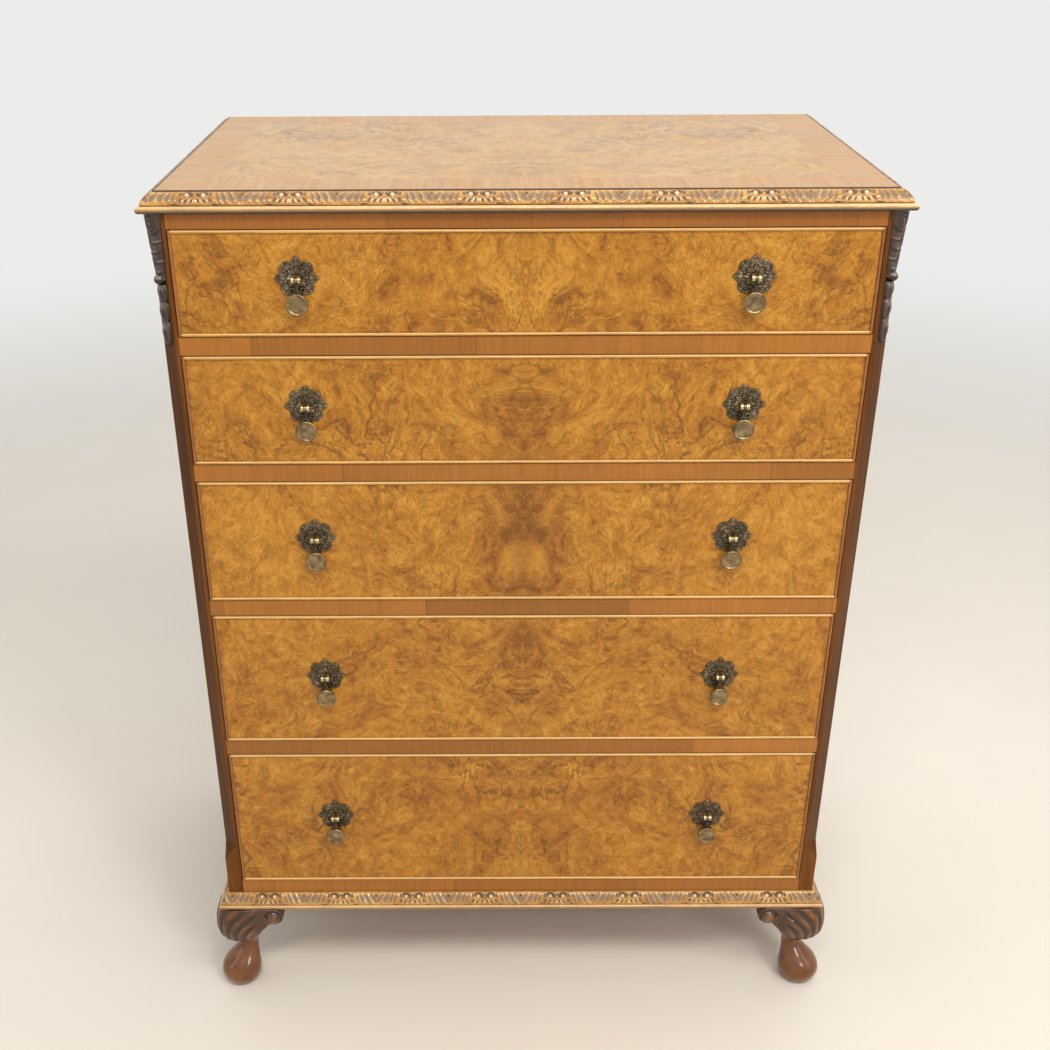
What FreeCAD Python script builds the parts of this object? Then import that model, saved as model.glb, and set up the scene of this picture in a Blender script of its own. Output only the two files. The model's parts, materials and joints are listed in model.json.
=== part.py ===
import FreeCAD, Part
import Sketcher
import math
import os

# Burr walnut chest of five graduated drawers, millimetres.
# +Z is up, the front faces -Y, the origin lies on the floor under the middle of the whole piece.

doc = FreeCAD.newDocument("chest_of_drawers")

DRIVING = [
    ("case_width", "746", "outside of one case side to the outside of the other"),
    ("case_depth", "442", "front face of the case to the back"),
    ("foot_height", "128", "floor to the underside of the case"),
    ("side_board", "18.5", "thickness of a case side and of its front post"),
    ("post_depth", "34", "front post, front to back"),
    ("cant_leg", "14.5", "leg of the canted front corner"),
    ("cant_start", "76", "underside of the case to the foot of the cant"),
    ("cant_run_in", "16", "height over which the cant grows to its full leg"),
    ("bottom_rail", "39", "height of the rail under the lowest drawer"),
    ("rail_height", "19.5", "height of a rail between two drawers"),
    ("rail_depth", "58", "rails, front to back"),
    ("frieze_rail", "16", "height of the rail over the top drawer"),
    ("opening_one", "110", "height of the top drawer opening"),
    ("opening_two", "122", "height of the second opening"),
    ("opening_three", "147", "height of the third opening"),
    ("opening_four", "173", "height of the fourth opening"),
    ("opening_five", "196", "height of the lowest opening"),
    ("top_board", "20", "thickness of the top and of its edge moulding"),
    ("top_overhang", "8", "top moulding past the case, front and sides"),
    ("top_slope", "17.5", "width of the top moulding"),
    ("top_lip", "7", "height of the rounded lip under the carved slope"),
    ("base_height", "20", "height of the base moulding"),
    ("base_reach", "13", "base moulding past the case, front and sides"),
    ("base_lip", "6", "height of the rounded lip of the base moulding"),
    ("back_sheet", "6", "thickness of the back panel"),
    ("back_rebate", "8", "width of the rebate that holds the back panel"),
    ("floor_board", "12", "thickness of the bottom board"),
    ("runner_width", "24", "width of a drawer runner"),
    ("stop_height", "5", "height of a drawer stop"),
    ("stop_width", "36", "width of a drawer stop"),
    ("stop_depth", "14", "drawer stop, front to back"),
    ("stop_offset", "170", "middle of the case to the middle of a stop"),
    ("knee_reach", "8.5", "knee of a foot past the base moulding"),
    ("knee_size", "62", "width of the knee at its fullest"),
    ("ankle_size", "26", "thickness of a leg at the ankle"),
    ("ankle_height", "58", "floor to the thinnest place of a leg"),
    ("ankle_inset", "15", "axis of the ankle in from the case corner"),
    ("pad_size", "51", "width of the round pad of a foot"),
    ("pad_height", "44", "floor to the neck over the pad"),
    ("pad_inset", "3.5", "axis of the pad in from the case corner"),
    ("ear_length", "68", "case corner to the end of a scrolled ear"),
    ("ear_scroll", "13", "radius of the scroll that ends an ear"),
    ("ear_depth", "26", "ears, front to back"),
    ("ear_back", "8", "face of the ears behind the face of the knee"),
    ("drawer_gap", "1", "play at the edges of a drawer front"),
    ("run_clearance", "0.3", "play under a drawer and behind its front"),
    ("rear_gap", "36", "end of a closed drawer to the back panel"),
    ("front_board", "20", "thickness of a drawer front"),
    ("bead_width", "3", "width of the cock bead"),
    ("bead_depth", "10", "rebate that takes the cock bead"),
    ("bead_proud", "2", "cock bead past the drawer front"),
    ("bead_round", "1.3", "rounding of the nose of the cock bead"),
    ("drawer_side", "10", "thickness of the drawer sides and back"),
    ("tail_length", "9", "length of the dovetails"),
    ("tail_pitch", "35", "least height for one dovetail"),
    ("side_drop", "4", "top of a drawer side below its opening"),
    ("back_drop", "10", "top of a drawer back below the sides"),
    ("bottom_sheet", "5", "thickness of a drawer bottom"),
    ("bottom_rise", "9", "underside of a drawer side to its bottom panel"),
    ("groove_depth", "5", "grooves that hold a drawer bottom"),
    ("handle_offset", "229", "middle of the case to a handle"),
    ("handle_rise", "6", "middle of a drawer front up to a hinge pin"),
    ("plate_sheet", "1.8", "thickness of a handle plate"),
    ("plate_core", "17", "radius of the round middle of a plate"),
    ("lobe_ring", "15.6", "middle of a plate to the middle of a lobe"),
    ("lobe_size", "6.9", "radius of a lobe"),
    ("shank_size", "2.4", "radius of the threaded shank behind a plate"),
    ("shank_play", "0.2", "clearance of a shank in its holes"),
    ("hinge_reach", "6.5", "face of a plate to the axis of the hinge pin"),
    ("knuckle_size", "3.5", "radius of the hinge knuckles"),
    ("knuckle_span", "9", "width over the two outer knuckles"),
    ("eye_width", "3", "width of the middle knuckle, on the drop"),
    ("eye_play", "0.3", "play of the middle knuckle on each side"),
    ("pin_size", "1", "radius of a hinge pin"),
    ("pin_play", "0.06", "clearance of a drop on its pin"),
    ("drop_length", "24", "hinge pin to the middle of the drop button"),
    ("button_size", "11.5", "radius of the drop button"),
    ("button_front", "6", "hinge axis forward to the rim of the button"),
    ("nut_size", "4.6", "corner radius of a nut"),
    ("nut_height", "4", "thickness of a nut"),
    ("scroll_drop", "138", "length of a corner carving"),
    ("scroll_width", "17", "width of a corner carving at its head"),
    ("scroll_reach", "9.5", "head of a corner carving past the cant"),
]

sheet = doc.addObject("Spreadsheet::Sheet", "sizes")
for row, (alias, amount, note) in enumerate(DRIVING, start=1):
    sheet.set(f"A{row}", note)
    sheet.set(f"B{row}", amount)
    sheet.setAlias(f"B{row}", alias)
doc.recompute()


class Size:
    # a length that keeps its number and its sheet formula together
    def __init__(self, number, formula):
        self.number = float(number)
        self.formula = formula

    def __add__(self, other):
        other = as_size(other)
        return Size(self.number + other.number, f"({self.formula} + {other.formula})")

    def __sub__(self, other):
        other = as_size(other)
        return Size(self.number - other.number, f"({self.formula} - {other.formula})")

    def __mul__(self, other):
        other = as_size(other)
        return Size(self.number * other.number, f"({self.formula} * {other.formula})")

    def __truediv__(self, other):
        other = as_size(other)
        return Size(self.number / other.number, f"({self.formula} / {other.formula})")

    def __neg__(self):
        return Size(-self.number, f"(0 - {self.formula})")

    def __radd__(self, other):
        return as_size(other) + self

    def __rsub__(self, other):
        return as_size(other) - self

    def __rmul__(self, other):
        return as_size(other) * self


def as_size(value):
    if isinstance(value, Size):
        return value
    return Size(value, f"{value:.6f}" if value >= 0 else f"(0 - {-value:.6f})")


def cell(alias):
    return Size(sheet.get(alias), f"sizes.{alias}")


def bind(item, prop, value):
    item.setExpression(prop, as_size(value).formula)


def place(item, x, y, z):
    for axis, value in zip("xyz", (x, y, z)):
        bind(item, f"Placement.Base.{axis}", value)


def turn(item, axis, degrees):
    item.Placement = FreeCAD.Placement(FreeCAD.Vector(), FreeCAD.Rotation(FreeCAD.Vector(*axis), degrees))


def board(name, extent, corner):
    item = doc.addObject("Part::Box", name)
    for prop, value in zip(("Length", "Width", "Height"), extent):
        bind(item, prop, value)
    place(item, *corner)
    return item


def rod(name, radius, length, start, axis):
    # a cylinder that starts at a point and runs along +X or +Y
    item = doc.addObject("Part::Cylinder", name)
    bind(item, "Radius", radius)
    bind(item, "Height", length)
    turn(item, (0, 1, 0) if axis == "X" else (1, 0, 0), 90 if axis == "X" else -90)
    place(item, *start)
    return item


def cut(name, base, tool):
    item = doc.addObject("Part::Cut", name)
    item.Base = base
    item.Tool = tool
    return item


def fuse(name, pieces):
    item = doc.addObject("Part::MultiFuse", name)
    item.Shapes = pieces
    item.Refine = True
    return item


def mirror(name, source, normal=(1, 0, 0)):
    item = doc.addObject("Part::Mirroring", name)
    item.Source = source
    item.Base = FreeCAD.Vector()
    item.Normal = FreeCAD.Vector(*normal)
    return item


def group(name, pieces):
    item = doc.addObject("Part::Compound", name)
    item.Links = pieces
    return item


def pair(name, left):
    # a left-hand piece and its mirror image, as two solids of one node
    return group(name, [left, mirror(name + "_mirrored", left)])


def new_body(name):
    return doc.addObject("PartDesign::Body", name)


def origin_item(body, role):
    return next(item for item in body.Origin.OriginFeatures if item.Role == role)


def new_sketch(body, name, plane, offset=0.0):
    sketch = body.newObject("Sketcher::SketchObject", name)
    sketch.AttachmentSupport = [(origin_item(body, plane), "")]
    sketch.MapMode = "FlatFace"
    bind(sketch, "AttachmentOffset.Base.z", offset)
    return sketch


def pin_down(sketch, index, place_on_edge, x, y):
    # ties one point of the sketch to its two sheet-driven coordinates
    for kind, value in (("DistanceX", x), ("DistanceY", y)):
        value = as_size(value)
        number = sketch.addConstraint(
            Sketcher.Constraint(kind, -1, 1, index, place_on_edge, value.number))
        sketch.setExpression(f"Constraints[{number}]", value.formula)


def draw(sketch, points):
    # Closed outline. A point is (x, y), or (x, y, mx, my) when an arc through (mx, my) leaves it.
    spots = [FreeCAD.Vector(as_size(p[0]).number, as_size(p[1]).number, 0) for p in points]
    ends = []
    for index, point in enumerate(points):
        start = spots[index]
        stop = spots[(index + 1) % len(points)]
        if len(point) == 2:
            edge = sketch.addGeometry(Part.LineSegment(start, stop), False)
        else:
            via = FreeCAD.Vector(as_size(point[2]).number, as_size(point[3]).number, 0)
            edge = sketch.addGeometry(Part.Arc(start, via, stop), False)
        forward = (sketch.getPoint(edge, 1) - start).Length < 1e-6
        ends.append((edge, 1 if forward else 2, 2 if forward else 1))
    for (edge, _, last), (following, first, _) in zip(ends, ends[1:] + ends[:1]):
        sketch.addConstraint(Sketcher.Constraint("Coincident", edge, last, following, first))
    for (edge, first, _), point in zip(ends, points):
        pin_down(sketch, edge, first, point[0], point[1])
        if len(point) == 4:
            spot = FreeCAD.Vector(as_size(point[2]).number, as_size(point[3]).number, 0)
            mark = sketch.addGeometry(Part.Point(spot), True)
            pin_down(sketch, mark, 1, point[2], point[3])
            sketch.addConstraint(Sketcher.Constraint("PointOnObject", mark, 1, edge))
    return sketch


def draw_circle(sketch, x, y, radius):
    centre = FreeCAD.Vector(as_size(x).number, as_size(y).number, 0)
    edge = sketch.addGeometry(Part.Circle(centre, FreeCAD.Vector(0, 0, 1), as_size(radius).number), False)
    pin_down(sketch, edge, 3, x, y)
    number = sketch.addConstraint(Sketcher.Constraint("Radius", edge, as_size(radius).number))
    bind(sketch, f"Constraints[{number}]", radius)
    return sketch


def pad(body, name, sketch, length):
    feature = body.newObject("PartDesign::Pad", name)
    feature.Profile = sketch
    bind(feature, "Length", length)
    sketch.Visibility = False
    return feature


def prism(name, plane, points, offset, length):
    # one padded outline as a body of its own
    body = new_body(name)
    sketch = draw(new_sketch(body, name + "_outline", plane, offset), points)
    pad(body, name + "_pad", sketch, length)
    return body


case_width = cell("case_width")
side_board = cell("side_board")
foot_height = cell("foot_height")
post_depth = cell("post_depth")
rail_depth = cell("rail_depth")
rail_height = cell("rail_height")
bottom_rail = cell("bottom_rail")
frieze_height = cell("frieze_rail")
back_sheet = cell("back_sheet")
run_clearance = cell("run_clearance")
front_board = cell("front_board")
base_reach = cell("base_reach")
knee_reach = cell("knee_reach")
openings = [cell("opening_" + word) for word in ("one", "two", "three", "four", "five")]

# The knees reach furthest forward, so the case sits half that reach behind the middle.
half_case = case_width / 2
front_y = (base_reach + knee_reach - cell("case_depth")) / 2
back_y = front_y + cell("case_depth")
inner_half = half_case - side_board

# Drawer openings are stacked from the lowest upwards.
sills = []
level = foot_height + bottom_rail
for height in reversed(openings):
    sills.insert(0, level)
    level = level + height + rail_height
case_top = level - rail_height + frieze_height
case_height = case_top - foot_height

nodes = {}


def keep(name, item):
    item.Label = name
    nodes[name] = item


# Case sides stand behind the front posts and are rebated for the back panel.
side_blank = board("side_blank", (side_board, back_y - front_y - post_depth, case_height),
                   (-half_case, front_y + post_depth, foot_height))
back_rebate = cell("back_rebate")
side_rebate = board("side_rebate", (back_rebate, back_sheet, case_height),
                    (-inner_half - back_rebate, back_y - back_sheet, foot_height))
left_side = cut("left_side", side_blank, side_rebate)
keep("left_side", left_side)
keep("right_side", mirror("right_side", left_side))

# Front posts: square at the foot, then canted through a tapered stop up to the top.
cant_leg = cell("cant_leg")
cant_start = cell("cant_start")
cant_run_in = cell("cant_run_in")


def cant_corner(leg):
    # the corner that a cant of this leg takes off, one millimetre clear outside the post
    return [(-1, -1), (leg + 1, -1), (-1, leg + 1)]


cant_body = new_body("cant_body")
full_cant = draw(new_sketch(cant_body, "full_cant", "XY_Plane", cant_start + cant_run_in), cant_corner(cant_leg))
pad(cant_body, "cant_run", full_cant, case_height - cant_start - cant_run_in + 1)
stop_tip = draw(new_sketch(cant_body, "stop_tip", "XY_Plane", cant_start), cant_corner(cant_leg / 12))
stop_top = draw(new_sketch(cant_body, "stop_top", "XY_Plane", cant_start + cant_run_in), cant_corner(cant_leg))
cant_stop = cant_body.newObject("PartDesign::AdditiveLoft", "cant_stop")
cant_stop.Profile = stop_tip
cant_stop.Sections = [stop_top]
cant_stop.Ruled = True
place(cant_body, -half_case, front_y, foot_height)
post_blank = board("post_blank", (side_board, post_depth, case_height), (-half_case, front_y, foot_height))
keep("corner_posts", pair("corner_posts", cut("left_post", post_blank, cant_body)))

# Corner carvings: a swept console, a volute and three husks, built against the cant and turned to it.
scroll_drop = cell("scroll_drop")
scroll_width = cell("scroll_width")
reach = cell("scroll_reach")
carving = new_body("carving")


def carve(name, width, points):
    sketch = draw(new_sketch(carving, name + "_outline", "YZ_Plane", -width / 2), points)
    pad(carving, name + "_pad", sketch, width)


carve("console", scroll_width, [
    (0, 0),
    (-reach, 0, reach * -0.93, scroll_drop * -0.15),
    (reach * -0.6, scroll_drop * -0.28, reach * -0.4, scroll_drop * -0.36),
    (reach * -0.32, scroll_drop * -0.47),
    (0, scroll_drop * -0.47),
])
carve("volute", scroll_width * 1.1, [
    (0, scroll_drop * -0.45),
    (reach * -0.3, scroll_drop * -0.45, -reach, scroll_drop * -0.505),
    (reach * -0.3, scroll_drop * -0.56),
    (0, scroll_drop * -0.56),
])
HUSKS = [(0.55, 0.71, 0.55, 0.72), (0.70, 0.85, 0.5, 0.62), (0.84, 1.0, 0.42, 0.5)]
for number, (start, stop, depth, share) in enumerate(HUSKS, start=1):
    carve(f"husk_{number}", scroll_width * share, [
        (0, scroll_drop * -start),
        (reach * -0.12, scroll_drop * -start, reach * -depth, scroll_drop * (-0.55 * start - 0.45 * stop)),
        (reach * -0.12, scroll_drop * -stop),
        (0, scroll_drop * -stop),
    ])
turn(carving, (0, 0, 1), -45)
place(carving, cant_leg / 2 - half_case, front_y + cant_leg / 2, case_top)
keep("corner_scrolls", pair("corner_scrolls", carving))

# The top, with a carved-profile moulding mitred round its front and sides.
top_board = cell("top_board")
top_slope = cell("top_slope")
top_overhang = cell("top_overhang")
lip_half = half_case + top_overhang
lip_front = front_y - top_overhang
keep("top_board", board("top_board",
                        ((lip_half - top_slope) * 2, back_y - lip_front - top_slope, top_board),
                        (top_slope - lip_half, lip_front + top_slope, case_top)))

MITRE_BLOCK = 90.0
MITRE_BACK = 20.0


def mitre_tool(name, corner_x, corner_y, low, front_side):
    # a block turned half a right angle, its face on the mitre of the front left corner
    slide = 0.0 if front_side else MITRE_BLOCK * math.sqrt(0.5)
    block = doc.addObject("Part::Box", name)
    block.Length = MITRE_BLOCK
    block.Width = MITRE_BLOCK
    block.Height = MITRE_BLOCK
    turn(block, (0, 0, 1), 45)
    place(block, corner_x - MITRE_BACK + slide, corner_y - MITRE_BACK - slide, low - MITRE_BLOCK / 2)
    return block


def mitred_moulding(name, profile, half, front, low):
    # Front length and two returns of one profile, given as reach inside the outer face and height.
    def section(sign, outer):
        # distances are measured back from the outer face, towards the case
        flipped = []
        for point in profile:
            row = [outer + sign * point[0], low + point[1]]
            if len(point) == 4:
                row += [outer + sign * point[2], low + point[3]]
            flipped.append(tuple(row))
        return flipped

    front_blank = prism(name + "_front_blank", "YZ_Plane", section(1, front), -half, half * 2)
    side_blank_piece = prism(name + "_side_blank", "XZ_Plane", section(1, -half), -back_y, back_y - front)
    left_tool = mitre_tool(name + "_front_mitre", -half, front, low, True)
    both_tools = fuse(name + "_front_mitres", [left_tool, mirror(name + "_right_mitre", left_tool)])
    front_piece = cut(name + "_front", front_blank, both_tools)
    side_tool = mitre_tool(name + "_side_mitre", -half, front, low, False)
    left_piece = cut(name + "_left", side_blank_piece, side_tool)
    return group(name, [front_piece, left_piece, mirror(name + "_right", left_piece)])


top_lip = cell("top_lip")
top_profile = [
    (top_slope, 0),
    (top_lip / 2, 0, 0, top_lip / 2),
    (top_lip / 2, top_lip),
    (top_lip / 2 + 1, top_lip + 0.8, top_slope * 0.48, top_board * 0.83),
    (top_slope - 2, top_board),
    (top_slope, top_board),
]
keep("top_moulding", mitred_moulding("top_moulding", top_profile, lip_half, lip_front, case_top))

# Base moulding: a plain rounded lip under a hollow-and-round carved slope.
base_height = cell("base_height")
base_lip = cell("base_lip")
base_profile = [
    (base_reach, 0),
    (base_lip / 3, 0, 0, base_lip / 2),
    (base_lip / 3, base_lip),
    (base_reach * 0.3, base_lip + 1.5, base_reach * 0.42, base_height * 0.6),
    (base_reach * 0.8, base_height - 3),
    (base_reach * 0.8, base_height),
    (base_reach, base_height),
]
keep("base_moulding", mitred_moulding("base_moulding", base_profile, half_case + base_reach,
                                      front_y - base_reach, foot_height))

# Front rails lie between the sides, runners behind them carry the drawers, stops halt the fronts.
keep("frieze_rail", board("frieze_rail", (inner_half * 2, rail_depth, frieze_height),
                          (-inner_half, front_y, case_top - frieze_height)))
rails = [board("bottom_rail", (inner_half * 2, rail_depth, bottom_rail), (-inner_half, front_y, foot_height))]
for number, sill in enumerate(sills[:-1], start=1):
    rails.append(board(f"rail_{number}", (inner_half * 2, rail_depth, rail_height),
                       (-inner_half, front_y, sill - rail_height)))
keep("drawer_rails", group("drawer_rails", rails))

runner_width = cell("runner_width")
stop_width = cell("stop_width")
runners = []
stops = []
for number, sill in enumerate(sills, start=1):
    runner = board(f"runner_{number}",
                   (runner_width, back_y - back_sheet - front_y - rail_depth, rail_height),
                   (-inner_half, front_y + rail_depth, sill - rail_height))
    runners += [runner, mirror(f"right_runner_{number}", runner)]
    stop = board(f"stop_{number}", (stop_width, cell("stop_depth"), cell("stop_height")),
                 (-cell("stop_offset") - stop_width / 2, front_y + front_board + run_clearance, sill))
    stops += [stop, mirror(f"right_stop_{number}", stop)]
keep("drawer_runners", group("drawer_runners", runners))
keep("drawer_stops", group("drawer_stops", stops))

keep("back_panel", board("back_panel", ((inner_half + back_rebate) * 2, back_sheet, case_height),
                         (-inner_half - back_rebate, back_y - back_sheet, foot_height)))
keep("bottom_board", board("bottom_board",
                           (inner_half * 2, back_y - back_sheet - front_y - rail_depth, cell("floor_board")),
                           (-inner_half, front_y + rail_depth, foot_height)))

# Cabriole feet. A leg is lofted through squarish rings that grow rounder towards ankle and pad.
SEGMENTS = 20


def ring(centre_x, centre_y, radius, height, squareness):
    points = []
    for step in range(SEGMENTS):
        angle = 2 * math.pi * (step + 0.5) / SEGMENTS
        across = math.cos(angle)
        along = math.sin(angle)
        spread = (abs(across) ** squareness + abs(along) ** squareness) ** (-1 / squareness)
        points.append(FreeCAD.Vector(centre_x + radius * spread * across,
                                     centre_y + radius * spread * along, height))
    curve = Part.BSplineCurve()
    curve.interpolate(points, True)
    return Part.Wire(curve.toShape())


def leg_rings(inset_y):
    # the leg in its own corner: +X and +Y run in under the case, knee faces at -reach and -reach + inset_y
    top = sheet.get("foot_height")
    neck = sheet.get("pad_height")
    thin = sheet.get("ankle_height")
    pad_half = sheet.get("pad_size") / 2
    ankle = sheet.get("ankle_size") / 2
    knee = sheet.get("knee_size") / 2
    foot_in = sheet.get("pad_inset")
    thin_in = sheet.get("ankle_inset")
    knee_in = knee - sheet.get("base_reach") - sheet.get("knee_reach")
    swell = top - thin
    stations = [
        (foot_in, pad_half * 0.70, 0.0, 2.0),
        (foot_in, pad_half * 0.93, neck * 0.15, 2.0),
        (foot_in, pad_half, neck * 0.46, 2.0),
        (foot_in * 0.85 + thin_in * 0.15, pad_half * 0.84, neck * 0.80, 2.0),
        (foot_in * 0.4 + thin_in * 0.6, ankle * 1.22, neck * 0.55 + thin * 0.45, 2.0),
        (thin_in, ankle, thin, 2.0),
        (thin_in * 0.7 + knee_in * 0.3, ankle * 0.80 + knee * 0.20, thin + swell * 0.10, 2.1),
        (thin_in * 0.2 + knee_in * 0.8, ankle * 0.3 + knee * 0.7, thin + swell * 0.24, 2.4),
        (knee_in, knee * 0.96, thin + swell * 0.42, 2.7),
        (knee_in, knee, thin + swell * 0.64, 2.8),
        (knee_in, knee * 0.93, thin + swell * 0.86, 2.8),
        (knee_in, knee * 0.80, top, 2.8),
    ]
    return [ring(inset, inset + inset_y, radius, height, square)
            for inset, radius, height, square in stations]


def ear_face():
    # side view of an ear: a scroll at the inner end, its underside sweeping down into the leg
    top = sheet.get("foot_height")
    scroll = sheet.get("ear_scroll")
    end = sheet.get("ear_length")
    root = sheet.get("ankle_inset")
    thin = sheet.get("ankle_height")
    eye = FreeCAD.Vector(end - scroll, 0, top - scroll)
    under = FreeCAD.Vector(end - scroll * 1.35, 0, top - scroll * 1.93)
    foot = FreeCAD.Vector(root, 0, thin + (top - thin) * 0.22)
    bend = FreeCAD.Vector(root + (under.x - root) * 0.62, 0, foot.z + (under.z - foot.z) * 0.42)
    corner = FreeCAD.Vector(root, 0, top)
    crown = FreeCAD.Vector(end - scroll, 0, top)
    edges = [
        Part.LineSegment(corner, crown).toShape(),
        Part.Arc(crown, FreeCAD.Vector(end, 0, eye.z), under).toShape(),
        Part.Arc(under, bend, foot).toShape(),
        Part.LineSegment(foot, corner).toShape(),
    ]
    return Part.Face(Part.Wire(edges))


def foot_shape(inset_y, two_ears):
    leg = Part.makeLoft(leg_rings(inset_y), True, False)
    face_y = sheet.get("ear_back") - sheet.get("base_reach") - sheet.get("knee_reach")
    depth = sheet.get("ear_depth")
    front_ear = ear_face().extrude(FreeCAD.Vector(0, depth, 0))
    front_ear.translate(FreeCAD.Vector(0, face_y, 0))
    # swapping X and Y turns the front ear into the one that runs back along the side
    swap = FreeCAD.Matrix(0, 1, 0, 0, 1, 0, 0, 0, 0, 0, 1, 0, 0, 0, 0, 1)
    side_ear = front_ear.transformGeometry(swap)
    side_ear.translate(FreeCAD.Vector(0, inset_y, 0))
    ears = [front_ear, side_ear] if two_ears else [side_ear]
    return leg.multiFuse(ears).removeSplitter()


def foot(name, inset_y, two_ears, x, y, turned):
    # the corner of the case is the origin of a foot; a rear foot is the mirror image front to back
    shape = foot_shape(inset_y, two_ears)
    if turned:
        shape = shape.mirror(FreeCAD.Vector(), FreeCAD.Vector(0, 1, 0))
    item = doc.addObject("Part::Feature", name)
    item.Shape = Part.Solid(shape.Solids[0])
    place(item, x, y, 0)
    return item


knee_out = base_reach + knee_reach
keep("front_feet", pair("front_feet", foot("front_foot", 0.0, True, -half_case, front_y, False)))
keep("rear_feet", pair("rear_feet", foot("rear_foot", knee_out.number, False, -half_case, back_y, True)))

# Drawers: lapped dovetails at the front, bottom panels in grooves, cock beads let into the fronts.
drawer_gap = cell("drawer_gap")
bead_width = cell("bead_width")
bead_depth = cell("bead_depth")
bead_proud = cell("bead_proud")
drawer_side = cell("drawer_side")
tail_length = cell("tail_length")
bottom_sheet = cell("bottom_sheet")
groove_depth = cell("groove_depth")
handle_offset = cell("handle_offset")
plate_sheet = cell("plate_sheet")
hinge_reach = cell("hinge_reach")
shank_size = cell("shank_size")
shank_play = cell("shank_play")
knuckle_size = cell("knuckle_size")
knuckle_span = cell("knuckle_span")
eye_width = cell("eye_width")
eye_play = cell("eye_play")
pin_size = cell("pin_size")
pin_play = cell("pin_play")
drop_length = cell("drop_length")
button_size = cell("button_size")
button_front = cell("button_front")
nut_height = cell("nut_height")
hinge_y = front_y - plate_sheet - hinge_reach
drawer_end = back_y - back_sheet - cell("rear_gap")
LOBES = 8


def side_outline(low, high, tails):
    # side view of a drawer side with its dovetails: wide at the tip, narrow at the shoulder
    shoulder = front_y + front_board
    tip = shoulder - tail_length
    pitch = (high - low) / tails
    points = [(drawer_end, high), (drawer_end, low), (shoulder, low)]
    for number in range(tails):
        start = low + pitch * number
        points += [
            (shoulder, start + pitch * 0.26),
            (tip, start + pitch * 0.18),
            (tip, start + pitch * 0.82),
            (shoulder, start + pitch * 0.74),
        ]
    points.append((shoulder, high))
    return points


def bead_strip(name, points):
    body = prism(name, "XZ_Plane", points, -front_y - bead_depth, bead_depth + bead_proud)
    doc.recompute()
    nose = front_y.number - bead_proud.number
    strip = body.Tip
    longest = sorted(
        ((edge.Length, f"Edge{index}") for index, edge in enumerate(strip.Shape.Edges, start=1)
         if all(abs(vertex.Point.y - nose) < 1e-6 for vertex in edge.Vertexes)),
        reverse=True)[:2]
    rounding = body.newObject("PartDesign::Fillet", name + "_nose")
    rounding.Base = (strip, [edge for _, edge in longest])
    bind(rounding, "Radius", cell("bead_round"))
    return body


def cock_bead(name, low, high):
    # four strips mitred round a drawer front
    half = inner_half - drawer_gap
    inside = half - bead_width
    top = bead_strip(name + "_top", [(-half, high), (-inside, high - bead_width),
                                     (inside, high - bead_width), (half, high)])
    bottom = bead_strip(name + "_bottom", [(-half, low), (half, low),
                                           (inside, low + bead_width), (-inside, low + bead_width)])
    left = bead_strip(name + "_left", [(-half, low), (-inside, low + bead_width),
                                       (-inside, high - bead_width), (-half, high)])
    return group(name, [top, bottom, left, mirror(name + "_right", left)])


def handle_plate(name, height):
    # a lobed rosette, one lobe repeated round a disc, bored for the shank
    body = new_body(name)
    disc = draw_circle(new_sketch(body, name + "_disc", "XZ_Plane"), 0, 0, cell("plate_core"))
    pad(body, name + "_disc_pad", disc, plate_sheet)
    lobe_sketch = draw_circle(new_sketch(body, name + "_lobe", "XZ_Plane"), 0, cell("lobe_ring"), cell("lobe_size"))
    lobe = pad(body, name + "_lobe_pad", lobe_sketch, plate_sheet)
    doc.recompute()
    lobes = body.newObject("PartDesign::PolarPattern", name + "_lobes")
    lobes.Originals = [lobe]
    lobes.Axis = (origin_item(body, "Y_Axis"), [""])
    body.Tip = lobes
    lobes.Angle = 360
    lobes.Occurrences = LOBES
    place(body, -handle_offset, front_y, height)
    bore = rod(name + "_bore", shank_size + shank_play, plate_sheet * 3,
               (-handle_offset, front_y - plate_sheet * 2, height), "Y")
    return cut(name + "_bored", body, bore)


def handle_fixings(name, height):
    # forked post on a threaded shank, its hinge pin, and the nut inside the drawer
    left = -handle_offset
    fork = board(name + "_fork", (knuckle_span, hinge_reach, knuckle_size * 2),
                 (left - knuckle_span / 2, hinge_y, height - knuckle_size))
    nose = rod(name + "_nose", knuckle_size, knuckle_span, (left - knuckle_span / 2, hinge_y, height), "X")
    slot = eye_width + eye_play * 2
    gap = board(name + "_gap", (slot, hinge_reach + knuckle_size, knuckle_size * 4),
                (left - slot / 2, hinge_y - knuckle_size - 1, height - knuckle_size * 2))
    pin_hole = rod(name + "_pin_hole", pin_size, knuckle_span * 2, (left - knuckle_span, hinge_y, height), "X")
    head = cut(name + "_head", fuse(name + "_solid_head", [fork, nose]),
               fuse(name + "_head_cuts", [gap, pin_hole]))
    shank = rod(name + "_shank", shank_size, plate_sheet + front_board + nut_height + 2,
                (left, front_y - plate_sheet, height), "Y")
    post = fuse(name + "_post", [head, shank])
    hinge_pin = rod(name + "_pin", pin_size, knuckle_span, (left - knuckle_span / 2, hinge_y, height), "X")
    nut_blank = doc.addObject("Part::Prism", name + "_nut_blank")
    nut_blank.Polygon = 6
    bind(nut_blank, "Circumradius", cell("nut_size"))
    bind(nut_blank, "Height", nut_height)
    turn(nut_blank, (1, 0, 0), -90)
    place(nut_blank, left, front_y + front_board, height)
    nut_bore = rod(name + "_nut_bore", shank_size, nut_height * 3,
                   (left, front_y + front_board - nut_height, height), "Y")
    nut = cut(name + "_nut", nut_blank, nut_bore)
    pieces = [post, hinge_pin, nut]
    return group(name, pieces + [mirror(f"{piece.Name}_right", piece) for piece in pieces])


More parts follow.
